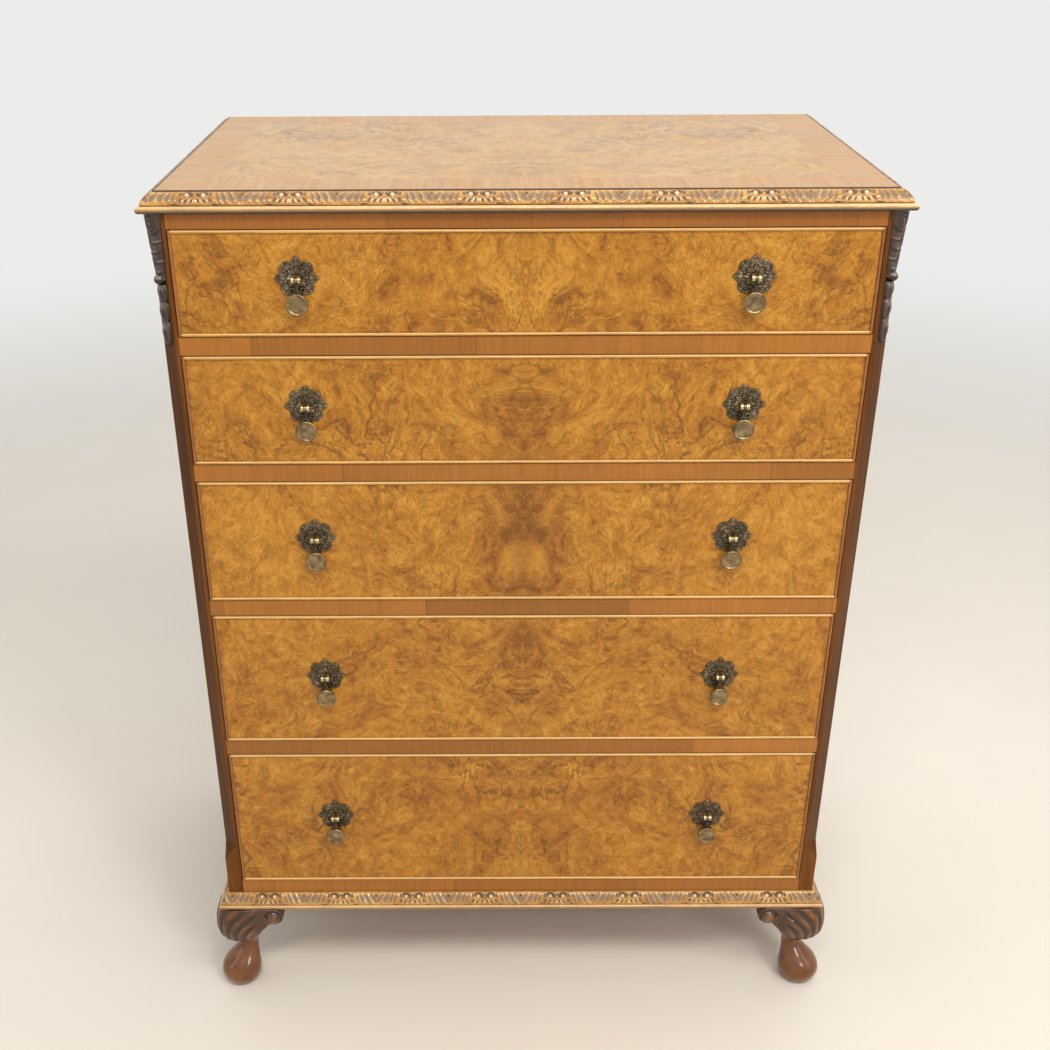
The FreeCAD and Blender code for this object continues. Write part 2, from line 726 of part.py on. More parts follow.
def handle_drop(name, height):
    # round button turned about its own axis, a flared stem, and the middle knuckle over it
    body = new_body(name + "_body")
    half_eye = eye_width / 2
    stem_sketch = draw(new_sketch(body, name + "_stem", "XZ_Plane", -half_eye), [
        (-half_eye, drop_length),
        (-half_eye, drop_length - knuckle_size - 1.5, -half_eye * 1.6, drop_length * 0.6),
        (button_size * -0.66, button_size * 0.6),
        (button_size * -0.3, 0),
        (button_size * 0.3, 0),
        (button_size * 0.66, button_size * 0.6, half_eye * 1.6, drop_length * 0.6),
        (half_eye, drop_length - knuckle_size - 1.5),
        (half_eye, drop_length),
    ])
    pad(body, name + "_stem_pad", stem_sketch, eye_width)
    eye = draw_circle(new_sketch(body, name + "_eye", "YZ_Plane", -half_eye), 0, drop_length, knuckle_size - 0.3)
    pad(body, name + "_eye_pad", eye, eye_width)
    profile = draw(new_sketch(body, name + "_button", "YZ_Plane"), [
        (half_eye * 1.3, 0),
        (half_eye * 1.3, button_size * 0.45, button_front * -0.15, button_size * 0.72),
        (button_front * -0.42, button_size * 0.95, button_front * -0.7, button_size),
        (button_front * -0.95, button_size * 0.93),
        (button_front * -0.82, button_size * 0.78),
        (button_front * -0.82, 0),
    ])
    button = body.newObject("PartDesign::Revolution", name + "_button_turn")
    button.Profile = profile
    button.ReferenceAxis = (profile, ["H_Axis"])
    button.Angle = 360
    place(body, -handle_offset, hinge_y, height - drop_length)
    bore = rod(name + "_bore", pin_size + pin_play, knuckle_span * 2,
               (-handle_offset - knuckle_span, hinge_y, height), "X")
    return cut(name, body, bore)


for number, (sill, opening) in enumerate(zip(sills, openings), start=1):
    label = f"drawer_{number}"
    low = sill + drawer_gap
    high = sill + opening - drawer_gap
    half = inner_half - drawer_gap
    side_low = sill + run_clearance
    side_high = sill + opening - cell("side_drop")
    panel_low = side_low + cell("bottom_rise")
    hinge_z = sill + opening / 2 + cell("handle_rise")
    tails = int((side_high.number - side_low.number) / sheet.get("tail_pitch"))

    panel = board(label + "_panel",
                  ((half - drawer_side + groove_depth) * 2, drawer_end - front_y - front_board + groove_depth, bottom_sheet),
                  (drawer_side - half - groove_depth, front_y + front_board - groove_depth, panel_low))
    side_solid = prism(label + "_side_solid", "YZ_Plane", side_outline(side_low, side_high, tails),
                       -half, drawer_side)
    left_drawer_side = cut(label + "_left_side", side_solid, panel)
    field = board(label + "_field", ((half - bead_width) * 2, front_board, high - low - bead_width * 2),
                  (bead_width - half, front_y, low + bead_width))
    backing = board(label + "_backing", (half * 2, front_board - bead_depth, high - low),
                    (-half, front_y + bead_depth, low))
    hole = rod(label + "_hole", shank_size + shank_play, front_board * 2,
               (-handle_offset, front_y - front_board / 2, hinge_z), "Y")
    sockets = fuse(label + "_sockets", [side_solid, mirror(label + "_right_solid", side_solid), panel,
                                        hole, mirror(label + "_right_hole", hole)])
    keep(label + "_front", cut(label + "_front", fuse(label + "_blank", [field, backing]), sockets))
    keep(label + "_cock_bead", cock_bead(label + "_cock_bead", low, high))
    keep(label + "_sides", pair(label + "_sides", left_drawer_side))
    keep(label + "_back", board(label + "_back",
                                ((half - drawer_side) * 2, drawer_side,
                                 side_high - cell("back_drop") - panel_low - bottom_sheet),
                                (drawer_side - half, drawer_end - drawer_side, panel_low + bottom_sheet)))
    keep(label + "_bottom", panel)
    keep(label + "_handle_plates", pair(label + "_handle_plates", handle_plate(label + "_plate", hinge_z)))
    keep(label + "_handle_fixings", handle_fixings(label + "_handle_fixings", hinge_z))
    left_drop = handle_drop(label + "_left_drop", hinge_z)
    keep(label + "_left_drop", left_drop)
    keep(label + "_right_drop", mirror(label + "_right_drop", left_drop))

doc.recompute()
for item in doc.Objects:
    if "Invalid" in item.State or "Error" in item.State:
        raise RuntimeError(f"{item.Label} does not build: {item.State}")

os.makedirs("parts", exist_ok=True)
for name, item in nodes.items():
    shape = item.Shape
    if shape.isNull() or not shape.isValid() or not shape.Solids:
        raise RuntimeError(f"{name} has no valid solid")
    shape.exportStep(f"parts/{name}.step")
print(len(nodes), "nodes written")
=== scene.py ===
import json
import math

import bpy
import numpy as np
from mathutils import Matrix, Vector


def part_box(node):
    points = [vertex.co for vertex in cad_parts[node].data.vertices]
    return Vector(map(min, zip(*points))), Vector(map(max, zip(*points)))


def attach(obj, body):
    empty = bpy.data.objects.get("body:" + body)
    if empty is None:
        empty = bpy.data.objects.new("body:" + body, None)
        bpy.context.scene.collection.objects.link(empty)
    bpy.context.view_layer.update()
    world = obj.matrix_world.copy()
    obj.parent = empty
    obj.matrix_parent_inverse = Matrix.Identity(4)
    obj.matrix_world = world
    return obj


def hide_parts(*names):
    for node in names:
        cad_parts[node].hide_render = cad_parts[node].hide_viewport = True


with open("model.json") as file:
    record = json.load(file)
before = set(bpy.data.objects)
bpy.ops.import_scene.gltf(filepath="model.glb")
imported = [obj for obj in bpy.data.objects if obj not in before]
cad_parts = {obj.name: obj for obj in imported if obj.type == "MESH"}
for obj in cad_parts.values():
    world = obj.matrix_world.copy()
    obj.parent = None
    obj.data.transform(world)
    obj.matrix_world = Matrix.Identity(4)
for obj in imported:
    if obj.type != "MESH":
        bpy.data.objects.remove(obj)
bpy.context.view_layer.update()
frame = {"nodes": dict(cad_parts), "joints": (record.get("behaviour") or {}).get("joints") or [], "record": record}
nodes = frame["nodes"]
mm = 0.001
print("frame loaded:", len(nodes), "nodes")


# node tree helpers

def addNode(tree, kind, values=None, **props):
    made = tree.nodes.new(kind)
    for key, value in props.items():
        setattr(made, key, value)
    for key, value in (values or {}).items():
        if isinstance(value, bpy.types.NodeSocket):
            tree.links.new(value, made.inputs[key])
        else:
            made.inputs[key].default_value = value
    return made


def calc(operation, *values):
    tree = values[0].id_data       # the node tree that the socket belongs to
    return addNode(tree, "ShaderNodeMath", dict(enumerate(values)), operation=operation).outputs[0]


def vectorCalc(operation, values):
    return addNode(values[0].id_data, "ShaderNodeVectorMath", values, operation=operation).outputs


def noise(vector, scale, detail=4.0, roughness=0.55, distortion=0.0):
    made = addNode(vector.id_data, "ShaderNodeTexNoise",
                   {"Vector": vector, "Scale": scale, "Detail": detail, "Roughness": roughness,
                    "Distortion": distortion})
    return made.outputs["Fac"]


def stretch(vector, scale, location=(0, 0, 0)):
    values = {"Vector": vector, "Scale": scale, "Location": location}
    made = addNode(vector.id_data, "ShaderNodeMapping", values)
    return made.outputs["Vector"]


def ramp(factor, stops):
    # a stop is a place and a colour, or a plain number for a grey
    made = addNode(factor.id_data, "ShaderNodeValToRGB", {"Fac": factor})
    band = made.color_ramp
    while len(band.elements) < len(stops):
        band.elements.new(0.5)
    for element, (place, colour) in zip(band.elements, stops):
        element.position = place
        element.color = (*(colour if isinstance(colour, tuple) else (colour,) * 3), 1)
    return made.outputs["Color"]


def blendColours(factor, first, second, mode="MIX"):
    # the first colour is a socket, the second a socket or a plain colour
    values = {0: factor, 6: first, 7: (*second, 1) if isinstance(second, tuple) else second}
    return addNode(first.id_data, "ShaderNodeMix", values, data_type="RGBA", blend_type=mode).outputs[2]


def tinted(colour, shade):
    return blendColours(1.0, colour, shade, mode="MULTIPLY")


def newMaterial(name, look, metallic=0.0):
    material = bpy.data.materials.new(name)
    material.use_nodes = True
    tree = material.node_tree
    shader = tree.nodes["Principled BSDF"]
    shader.inputs["Roughness"].default_value = look["roughness"]
    shader.inputs["Specular IOR Level"].default_value = look.get("specular", 0.5)
    shader.inputs["Coat Weight"].default_value = look.get("coat", 0.0)
    shader.inputs["Coat Roughness"].default_value = look.get("coatRoughness", 0.16)
    shader.inputs["Metallic"].default_value = metallic
    return material, tree, shader


def dress(shader, colour, gloss, height, strength, distance):
    # links the colour, the gloss if it varies, and a fine bump
    tree = colour.id_data
    bump = addNode(tree, "ShaderNodeBump", {"Height": height, "Strength": strength, "Distance": distance})
    for source, name in ((colour, "Base Color"), (gloss, "Roughness"), (bump.outputs["Normal"], "Normal")):
        if source is not None:
            tree.links.new(source, shader.inputs[name])


def objectPlace(tree):
    return addNode(tree, "ShaderNodeTexCoord").outputs["Object"]


def splitAxes(vector):
    return addNode(vector.id_data, "ShaderNodeSeparateXYZ", {0: vector}).outputs


def joinAxes(x, y, z):
    return addNode(x.id_data, "ShaderNodeCombineXYZ", {0: x, 1: y, 2: z}).outputs[0]


def warp(vector, scale, amount, detail=3.0):
    # pushes a place about by coloured noise, so that the figure swirls
    values = {"Vector": vector, "Scale": scale, "Detail": detail}
    cloud = addNode(vector.id_data, "ShaderNodeTexNoise", values)
    centred = vectorCalc("SUBTRACT", {0: cloud.outputs["Color"], 1: (0.5, 0.5, 0.5)})[0]
    pushed = vectorCalc("SCALE", {0: centred, "Scale": amount})[0]
    return vectorCalc("ADD", {0: vector, 1: pushed})[0]


def cornerShade(colour, distance, darkest):
    # painted shade: corners and creases are darkened by ambient occlusion
    occlusion = addNode(colour.id_data, "ShaderNodeAmbientOcclusion", {"Distance": distance}, samples=6)
    return tinted(colour, ramp(occlusion.outputs["AO"], [(0.30, darkest), (0.80, 1.0)]))


def plainBehind(colour, core):
    # the veneer is on one side only; the other faces show the plain wood under it
    tree = colour.id_data
    facing = splitAxes(addNode(tree, "ShaderNodeNewGeometry").outputs["True Normal"])[core["axis"]]
    hidden = calc("LESS_THAN", calc("MULTIPLY", facing, core["sign"]), 0.5)
    grain = noise(stretch(objectPlace(tree), core["grain"]), 1.0, 5.0, 0.62)
    plain = ramp(grain, [(0.36, core["dark"]), (0.50, core["mid"]), (0.64, core["light"])])
    return blendColours(hidden, colour, plain)


frontCore = {"axis": 1, "sign": -1.0, "grain": (4, 110, 110), "dark": (0.300, 0.150, 0.050),
             "mid": (0.390, 0.212, 0.078), "light": (0.470, 0.275, 0.112)}
topCore = {"axis": 2, "sign": 1.0, "grain": (4, 110, 110), "dark": (0.200, 0.082, 0.018),
           "mid": (0.275, 0.120, 0.028), "light": (0.350, 0.165, 0.042)}

burrLook = {
    "dark": (0.200, 0.062, 0.007),
    "brown": (0.375, 0.135, 0.013),
    "honey": (0.500, 0.205, 0.020),
    "gold": (0.640, 0.300, 0.040),
    "vein": (0.110, 0.038, 0.007),
    # how strong the dark heart is, by height
    "heart": [(0.30, 0.20), (0.50, 0.40), (0.60, 1.0), (0.70, 1.0), (0.80, 0.6), (0.90, 0.1)],
    "heartTint": (0.62, 0.56, 0.60),
    "roughness": 0.30,
    "coat": 0.12,
    "specular": 0.28,
    "core": frontCore,
}


def burrMaterial(name, look, seed, border=None):
    # book-matched burr veneer: marbled swirls, contour grain, dark veins and clusters of pips
    material, tree, shader = newMaterial(name, look)
    whole = objectPlace(tree)
    axes = splitAxes(whole)
    folded = joinAxes(calc("ABSOLUTE", axes[0]), axes[1], axes[2])
    place = stretch(folded, (1.0, 1.0, 1.0), (seed, seed * 0.37, seed * 0.61))
    swirl = warp(warp(place, 4.2, 0.11, 2.0), 15.0, 0.034)
    cloud = noise(swirl, 6.0, 3.0, 0.55)
    figure = noise(swirl, 15.0, 8.0, 0.64, 1.7)
    small = noise(swirl, 46.0, 7.0, 0.62, 1.9)
    fine = noise(swirl, 210.0, 4.0, 0.6, 0.8)
    tone = calc("MULTIPLY_ADD", cloud, 0.15, calc("MULTIPLY", figure, 0.31))
    tone = calc("MULTIPLY_ADD", small, 0.36, calc("MULTIPLY_ADD", fine, 0.18, tone))
    colour = ramp(tone, [(0.370, look["dark"]), (0.440, look["brown"]), (0.505, look["honey"]),
                         (0.585, look["gold"])])
    contour = calc("PINGPONG", calc("MULTIPLY", figure, 42.0), 1.0)
    lines = ramp(contour, [(0.0, 0.44), (0.28, 0.88), (0.55, 1.04)])
    lineMask = ramp(noise(swirl, 10.0, 2.0), [(0.36, 0.25), (0.56, 0.95)])
    colour = blendColours(lineMask, colour, tinted(colour, lines))
    ridge = calc("ABSOLUTE", calc("SUBTRACT", noise(swirl, 16.0, 6.0, 0.60, 1.3), 0.5))
    vein = ramp(ridge, [(0.0, 1.0), (0.010, 0.7), (0.030, 0.0)])
    veinMask = ramp(noise(place, 9.0, 3.0), [(0.42, 0.0), (0.62, 0.70)])
    colour = blendColours(calc("MULTIPLY", vein, veinMask), colour, look["vein"])
    pips = addNode(tree, "ShaderNodeTexVoronoi", {"Vector": swirl, "Scale": 190.0}).outputs["Distance"]
    pipMask = ramp(noise(swirl, 18.0, 3.0), [(0.54, 0.0), (0.68, 0.7)])
    pipShape = ramp(pips, [(0.10, 1.0), (0.36, 0.0)])
    colour = blendColours(calc("MULTIPLY", pipShape, pipMask), colour, look["vein"])
    pores = noise(stretch(swirl, (700, 700, 300)), 1.0, 2.0)
    speckle = ramp(pores, [(0.35, 0.82), (0.55, 1.0)])
    colour = blendColours(0.6, colour, tinted(colour, speckle))
    # dark heart where the two leaves of veneer meet, strongest on the middle drawer
    besideAxis = calc("MULTIPLY", calc("ABSOLUTE", axes[0]), 6.0)
    nearAxis = calc("MULTIPLY_ADD", figure, 0.9, besideAxis)
    heart = ramp(nearAxis, [(0.42, 1.0), (0.78, 0.0)])
    level = ramp(axes[2], look["heart"])
    browned = tinted(colour, look["heartTint"])
    colour = blendColours(calc("MULTIPLY", heart, level), colour, browned)
    if border:
        # a plain cross-grained band round the panel
        aside = calc("SUBTRACT", calc("ABSOLUTE", axes[0]), border["halfX"])
        offMiddle = calc("SUBTRACT", axes[1], border["middleY"])
        along = calc("SUBTRACT", calc("ABSOLUTE", offMiddle), border["halfY"])
        edge = calc("GREATER_THAN", calc("MAXIMUM", aside, along), 0.0)
        sideBand = calc("GREATER_THAN", aside, along)
        grainX = noise(stretch(whole, (170, 5, 5)), 1.0, 4.0, 0.6)
        grainY = noise(stretch(whole, (5, 170, 5)), 1.0, 4.0, 0.6)
        grain = addNode(tree, "ShaderNodeMix", {0: sideBand, 2: grainX, 3: grainY}, data_type="FLOAT")
        band = ramp(grain.outputs[0], [(0.36, border["dark"]), (0.64, border["light"])])
        colour = blendColours(edge, colour, band)
    colour = plainBehind(colour, look["core"])
    # painted shade in the corners
    colour = cornerShade(colour, 0.004, 0.35)
    matt = look["roughness"]
    gloss = ramp(noise(place, 24.0, 4.0), [(0.3, matt - 0.05), (0.7, matt + 0.08)])
    dress(shader, colour, gloss, pores, 0.05, 0.0004)
    return material


def grainMaterial(name, look, grain, seed, stripWidth=0.0):
    # straight grain: fine streaks across two axes, drawn out along the third
    material, tree, shader = newMaterial(name, look)
    place = stretch(objectPlace(tree), (1, 1, 1), (seed, seed * 0.7, seed * 0.3))
    bent = warp(place, 5.0, 0.012, 2.0)
    streak = noise(stretch(bent, grain), 1.0, 5.0, 0.62)
    fine = noise(stretch(bent, tuple(4.5 * v for v in grain)), 1.0, 3.0, 0.6)
    tone = calc("MULTIPLY_ADD", streak, 0.7, calc("MULTIPLY", fine, 0.3))
    colour = ramp(tone, [(0.36, look["dark"]), (0.50, look["mid"]), (0.64, look["light"])])
    drift = ramp(noise(place, 5.5, 3.0), [(0.3, 0.86), (0.7, 1.08)])
    colour = tinted(colour, drift)
    if stripWidth:
        # neighbouring strips of veneer differ a little in tone
        axes = splitAxes(objectPlace(tree))
        # rows change behind the drawers only
        row = calc("FLOOR", calc("MULTIPLY_ADD", axes[2], 7.0, 0.5))
        along = calc("MULTIPLY_ADD", row, 0.37, calc("DIVIDE", axes[0], stripWidth))
        cell = joinAxes(calc("FLOOR", along), row, 0.0)
        strip = addNode(tree, "ShaderNodeTexWhiteNoise", {"Vector": cell}, noise_dimensions="3D")
        colour = tinted(colour, ramp(strip.outputs["Value"], [(0.0, 0.80), (1.0, 1.14)]))
        seam = ramp(calc("FRACT", along), [(0.0, 0.68), (0.004, 0.72), (0.008, 1.0)])
        colour = tinted(colour, seam)
    if "core" in look:
        colour = plainBehind(colour, look["core"])
    if "aside" in look:
        # painted shade: faces turned to the sides are drawn darker, as if out of the light
        facing = addNode(tree, "ShaderNodeNewGeometry").outputs["True Normal"]
        turned = calc("ABSOLUTE", splitAxes(facing)[0])
        darkening = ramp(turned, [(0.30, 1.0), (0.60, look["aside"])])
        colour = tinted(colour, darkening)
    if "paintedTopHighlight" in look:
        # painted highlight: what faces up is drawn paler, as if lit from above
        facing = addNode(tree, "ShaderNodeNewGeometry").outputs["Normal"]
        upper = ramp(splitAxes(facing)[2], [(0.15, 0.0), (0.70, 1.0)])
        colour = blendColours(upper, colour, look["paintedTopHighlight"])
    if "verticalBeadShade" in look:
        # painted shade: the two upright lengths of a bead are drawn darker and redder than the level ones, which
        # face the light from above
        outer = calc("ABSOLUTE", splitAxes(objectPlace(tree))[0])
        atEnd = calc("GREATER_THAN", outer, look["uprightFrom"])
        shadedUprights = tinted(colour, look["verticalBeadShade"])
        colour = blendColours(atEnd, colour, shadedUprights)
    # painted shade in the corners
    colour = cornerShade(colour, 0.004, 0.40)
    dress(shader, colour, None, fine, look.get("bump", 0.06), 0.0005)
    return material


def carvedMaterial(name, look, seed):
    # polished ground drawn dark in the hollows, by stain, old polish and painted shade, and pale on the crests, by
    # wear and a painted highlight
    material, tree, shader = newMaterial(name, look)
    place = stretch(objectPlace(tree), (1, 1, 1), (seed, seed, seed))
    streak = noise(stretch(place, (30, 30, 30)), 1.0, 5.0, 0.6, 0.6)
    ground = ramp(streak, [(0.34, look["dark"]), (0.50, look["mid"]), (0.66, look["light"])])
    depth = addNode(tree, "ShaderNodeAttribute", attribute_name="hollow").outputs["Fac"]
    fineNoise = noise(place, 220.0, 3.0)
    dirtAndShade = calc("MULTIPLY_ADD", fineNoise, 0.22, calc("SUBTRACT", depth, 0.11))
    shallow = ramp(dirtAndShade, [(0.06, 0.0), (0.34, 0.95)])
    # hollows darkened: stain and old polish, with painted shade
    colour = blendColours(shallow, ground, look["hollow"])
    deepest = ramp(dirtAndShade, [(0.55, 0.0), (0.95, 1.0)])
    colour = blendColours(deepest, colour, look["deep"])
    # crests paled: wear, with a painted highlight
    wearAndGlint = calc("MULTIPLY_ADD", fineNoise, 0.30, calc("MULTIPLY_ADD", depth, -1.0, -0.15))
    crest = ramp(wearAndGlint, [(0.10, 0.0), (0.60, 0.9)])
    colour = blendColours(crest, colour, look["wearAndHighlight"])
    # painted shade in the corners
    colour = cornerShade(colour, 0.003, 0.45)
    matt = ramp(dirtAndShade, [(0.10, look["roughness"]), (0.60, 0.65)])
    dress(shader, colour, matt, fineNoise, 0.10, 0.0006)
    return material


def brassMaterial(name, look, seed):
    # darkened cast brass, rubbed bright where hands and cloths reach
    material, tree, shader = newMaterial(name, look, metallic=1.0)
    place = stretch(objectPlace(tree), (1, 1, 1), (seed, seed, seed))
    depth = addNode(tree, "ShaderNodeAttribute", attribute_name="hollow").outputs["Fac"]
    tarnish = noise(place, 130.0, 4.0, 0.6)
    fine = noise(place, 900.0, 3.0)
    mottle = look["mottle"]
    wear = calc("SUBTRACT", calc("MULTIPLY_ADD", tarnish, mottle, 0.63 - mottle / 2),
                calc("MULTIPLY", depth, 0.7))
    colour = ramp(wear, [(0.15, look["dark"]), (0.50, look["mid"]), (0.80, look["bright"])])
    gloss = ramp(tarnish, [(0.3, look["roughness"] + 0.12), (0.7, look["roughness"] - 0.04)])
    dress(shader, colour, gloss, fine, 0.12, 0.0005)
    return material


topLook = dict(burrLook, dark=(0.290, 0.118, 0.017), brown=(0.450, 0.212, 0.036),
               honey=(0.550, 0.288, 0.058), gold=(0.640, 0.365, 0.090), roughness=0.30, coat=0.30,
               specular=0.42, core=topCore)
topBorder = {"halfX": 0.316, "middleY": 0.018, "halfY": 0.168, "dark": (0.415, 0.185, 0.030),
             "light": (0.525, 0.260, 0.048)}
crossLook = {"dark": (0.335, 0.117, 0.014), "mid": (0.382, 0.139, 0.017), "light": (0.425, 0.161, 0.021),
             "roughness": 0.34, "coat": 0.15, "specular": 0.3, "core": frontCore}
# painted shade: a darker copy of the rails' finish for the frieze under the top's lip
shadedFriezeLook = dict(crossLook, dark=(0.268, 0.088, 0.011), mid=(0.306, 0.105, 0.014),
                  light=(0.342, 0.122, 0.017))
postLook = {"dark": (0.112, 0.037, 0.009), "mid": (0.163, 0.057, 0.013), "light": (0.214, 0.079, 0.018),
            "roughness": 0.36, "coat": 0.0, "specular": 0.06, "aside": 0.66}
sideLook = {"dark": (0.170, 0.056, 0.009), "mid": (0.280, 0.098, 0.015), "light": (0.380, 0.148, 0.024),
            "roughness": 0.32, "coat": 0.15, "specular": 0.3}
beadLook = {"dark": (0.470, 0.195, 0.024), "mid": (0.590, 0.275, 0.042), "light": (0.690, 0.360, 0.070),
            "roughness": 0.22, "coat": 0.40, "specular": 0.45, "paintedTopHighlight": (0.78, 0.52, 0.21),
            "verticalBeadShade": (0.50, 0.36, 0.26), "uprightFrom": 0.3503}
edgeLook = {"dark": (0.360, 0.150, 0.018), "mid": (0.465, 0.215, 0.030), "light": (0.570, 0.290, 0.052),
            "wearAndHighlight": (0.860, 0.640, 0.360), "hollow": (0.250, 0.165, 0.098), "deep": (0.050, 0.028, 0.016),
            "roughness": 0.20, "coat": 0.25, "coatRoughness": 0.12, "specular": 0.5}
scrollLook = {"dark": (0.034, 0.016, 0.010), "mid": (0.054, 0.026, 0.016), "light": (0.084, 0.042, 0.024),
              "wearAndHighlight": (0.200, 0.150, 0.115), "hollow": (0.022, 0.012, 0.009), "deep": (0.010, 0.006, 0.005),
              "roughness": 0.28, "coat": 0.30, "coatRoughness": 0.20, "specular": 0.40}
footLook = {"dark": (0.115, 0.036, 0.007), "mid": (0.185, 0.060, 0.011), "light": (0.265, 0.094, 0.017),
            "wearAndHighlight": (0.330, 0.160, 0.064), "hollow": (0.040, 0.017, 0.009), "deep": (0.018, 0.009, 0.006),
            "roughness": 0.30, "coat": 0.55, "coatRoughness": 0.09, "specular": 0.28}
liningLook = {"dark": (0.325, 0.186, 0.074), "mid": (0.430, 0.262, 0.112), "light": (0.515, 0.335, 0.155),
              "roughness": 0.62, "bump": 0.12}
backLook = {"dark": (0.210, 0.105, 0.038), "mid": (0.296, 0.158, 0.061), "light": (0.370, 0.208, 0.086),
            "roughness": 0.66, "bump": 0.12}
brassLook = {"dark": (0.052, 0.040, 0.026), "mid": (0.190, 0.142, 0.088), "bright": (0.500, 0.385, 0.220),
             "roughness": 0.36, "mottle": 0.9}
dropLook = dict(brassLook, mid=(0.135, 0.096, 0.050), bright=(0.400, 0.285, 0.145), roughness=0.30,
                mottle=0.85)
litAndRubbedLook = {"dark": (0.220, 0.155, 0.075), "mid": (0.480, 0.360, 0.190), "bright": (0.700, 0.540, 0.300),
              "roughness": 0.30, "mottle": 0.6}

finishes = {
    "burr_walnut": burrMaterial("burrFront", burrLook, 2.3),
    "burr_top": burrMaterial("burrTop", topLook, 5.1, topBorder),
    "cross_walnut": grainMaterial("crossRail", crossLook, (520, 520, 22), 1.7, 0.23),
    "post_walnut": grainMaterial("postWalnut", postLook, (170, 170, 6), 3.9),
    "straight_walnut": grainMaterial("sideWalnut", sideLook, (75, 75, 2.4), 7.7),
    "bead_walnut": grainMaterial("beadWalnut", beadLook, (14, 160, 120), 4.4),
    "carved_edge": carvedMaterial("carvedEdge", edgeLook, 6.2),
    "carved_walnut": carvedMaterial("carvedCorner", scrollLook, 8.3),
    "dark_walnut": carvedMaterial("darkFoot", footLook, 9.6),
    "lining_wood": grainMaterial("liningWood", liningLook, (110, 4, 110), 2.9),
    "lining_ply": grainMaterial("liningPly", liningLook, (60, 3, 160), 6.7),
    "back_ply": grainMaterial("backPly", backLook, (70, 160, 3), 5.8),
    "antique_brass": brassMaterial("antiqueBrass", brassLook, 1.1),
}
litAndRubbedBrass = brassMaterial("litAndRubbedBrass", litAndRubbedLook, 3.3)
dropBrass = brassMaterial("dropBrass", dropLook, 2.2)
drawerBack = grainMaterial("drawerBack", liningLook, (4, 110, 110), 3.1)
shadedFriezeWood = grainMaterial("shadedFriezeRail", shadedFriezeLook, (520, 520, 22), 2.6, 0.23)

for entry in frame["record"]["subparts"]:
    cadMesh = nodes[entry["node"]].data
    cadMesh.materials.clear()
    finish = finishes[entry["material_slot"]]
    if entry["node"].endswith("_handle_fixings"):
        finish = litAndRubbedBrass        # knuckles are drawn bright: rubbed wear and a painted highlight
    if entry["node"] == "frieze_rail":
        # painted shade under the top's lip
        finish = shadedFriezeWood
    if entry["node"].startswith("drawer_") and entry["node"].endswith("_back"):
        finish = drawerBack         # its grain runs across the drawer
    cadMesh.materials.append(finish)
print("finishes set:", len(finishes))


# mesh helpers, all in millimetres

def gridFaces(rows, columns):
    # faces of a grid whose rows run round and close
    row, column = np.meshgrid(np.arange(rows - 1), np.arange(columns), indexing="ij")
    right = (column + 1) % columns
    return np.stack([row * columns + column, (row + 1) * columns + column,
                     (row + 1) * columns + right, row * columns + right], axis=-1).reshape(-1, 4)


class Shell:
    # collects closed grids into one mesh, with a shade value for each point: positive draws it darker (stain,
    # patina and painted shade in the recesses), negative paler (wear and painted highlight)
    def __init__(self):
        self.points = []
        self.faces = []
        self.hollow = []
        self.count = 0

    def addTube(self, grid, hollow):
        # a grid with its first and last rows closed by a face
        rows, columns = grid.shape[:2]
        first = self.count
        last = first + (rows - 1) * columns
        self.addSkin(grid.reshape(-1, 3), gridFaces(rows, columns), hollow.reshape(-1))
        self.faces.append([first + index for index in range(columns)])
        self.faces.append([last + index for index in reversed(range(columns))])

    def addRing(self, grid, hollow):
        # a grid that closes on itself both ways, such as a pierced plate
        rows, columns = grid.shape[:2]
        closed = gridFaces(rows + 1, columns) % (rows * columns)
        self.addSkin(grid.reshape(-1, 3), closed, hollow.reshape(-1))

    def addSkin(self, points, quads, hollow):
        self.points.append(points)
        self.hollow.append(hollow)
        self.faces += (quads + self.count).tolist()
        self.count += len(points)

    def build(self, name, slot, body, replaced, sharp=38, finish=None):
        points = np.concatenate(self.points)
        mesh = bpy.data.meshes.new(name)
        mesh.from_pydata((points * mm).tolist(), [], self.faces)
        mesh.update()
        layer = mesh.attributes.new("hollow", "FLOAT", "POINT")
        layer.data.foreach_set("value", np.concatenate(self.hollow).astype(np.float32))
        mesh.shade_smooth()
        mesh.set_sharp_from_angle(angle=math.radians(sharp))
        mesh.materials.append(finish or finishes[slot])
        piece = bpy.data.objects.new(name, mesh)
        bpy.context.scene.collection.objects.link(piece)
        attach(piece, body)
        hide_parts(replaced)


def unit(value):
    return np.clip(value, 0, 1)


def hump(offset, width):
    return np.exp(-(offset / width) ** 2)


def mirrorGrid(grid):
    # the other hand of a grid, with its faces still turned outwards
    other = grid.copy()
    other[..., 0] *= -1
    return other[:, ::-1]


def bezier(points, steps=28):
    way = np.linspace(0, 1, steps)[:, None]
    first, second, third = (np.array(p, float) for p in points)
    return (1 - way) ** 2 * first + 2 * way * (1 - way) * second + way ** 2 * third


def gouge(across, up, points, width, depth, lean=0.0):
    # depth of one tapering gouge cut along a curve; lean deepens the cut towards one of its edges
    curve = bezier(points)
    run = np.gradient(curve, axis=0)
    run /= np.linalg.norm(run, axis=1)[:, None]
    way = np.linspace(0, 1, len(curve))
    half = width * np.sin(np.pi * np.clip(way, 0.04, 0.96)) ** 0.8
    gaps = [(across - x) ** 2 + (up - y) ** 2 for x, y in curve]
    nearest = np.argmin(np.stack(gaps), axis=0)
    offX = across - curve[nearest, 0]
    offY = up - curve[nearest, 1]
    side = np.sign(offX * run[nearest, 1] - offY * run[nearest, 0])
    share = np.hypot(offX, offY) / half[nearest]
    bowl = unit(1 - share ** 2) ** 0.55
    tilt = unit(1 - lean * (1 - side * share) / 2)
    return depth * bowl * tilt * half[nearest] / width


# carved edge mouldings

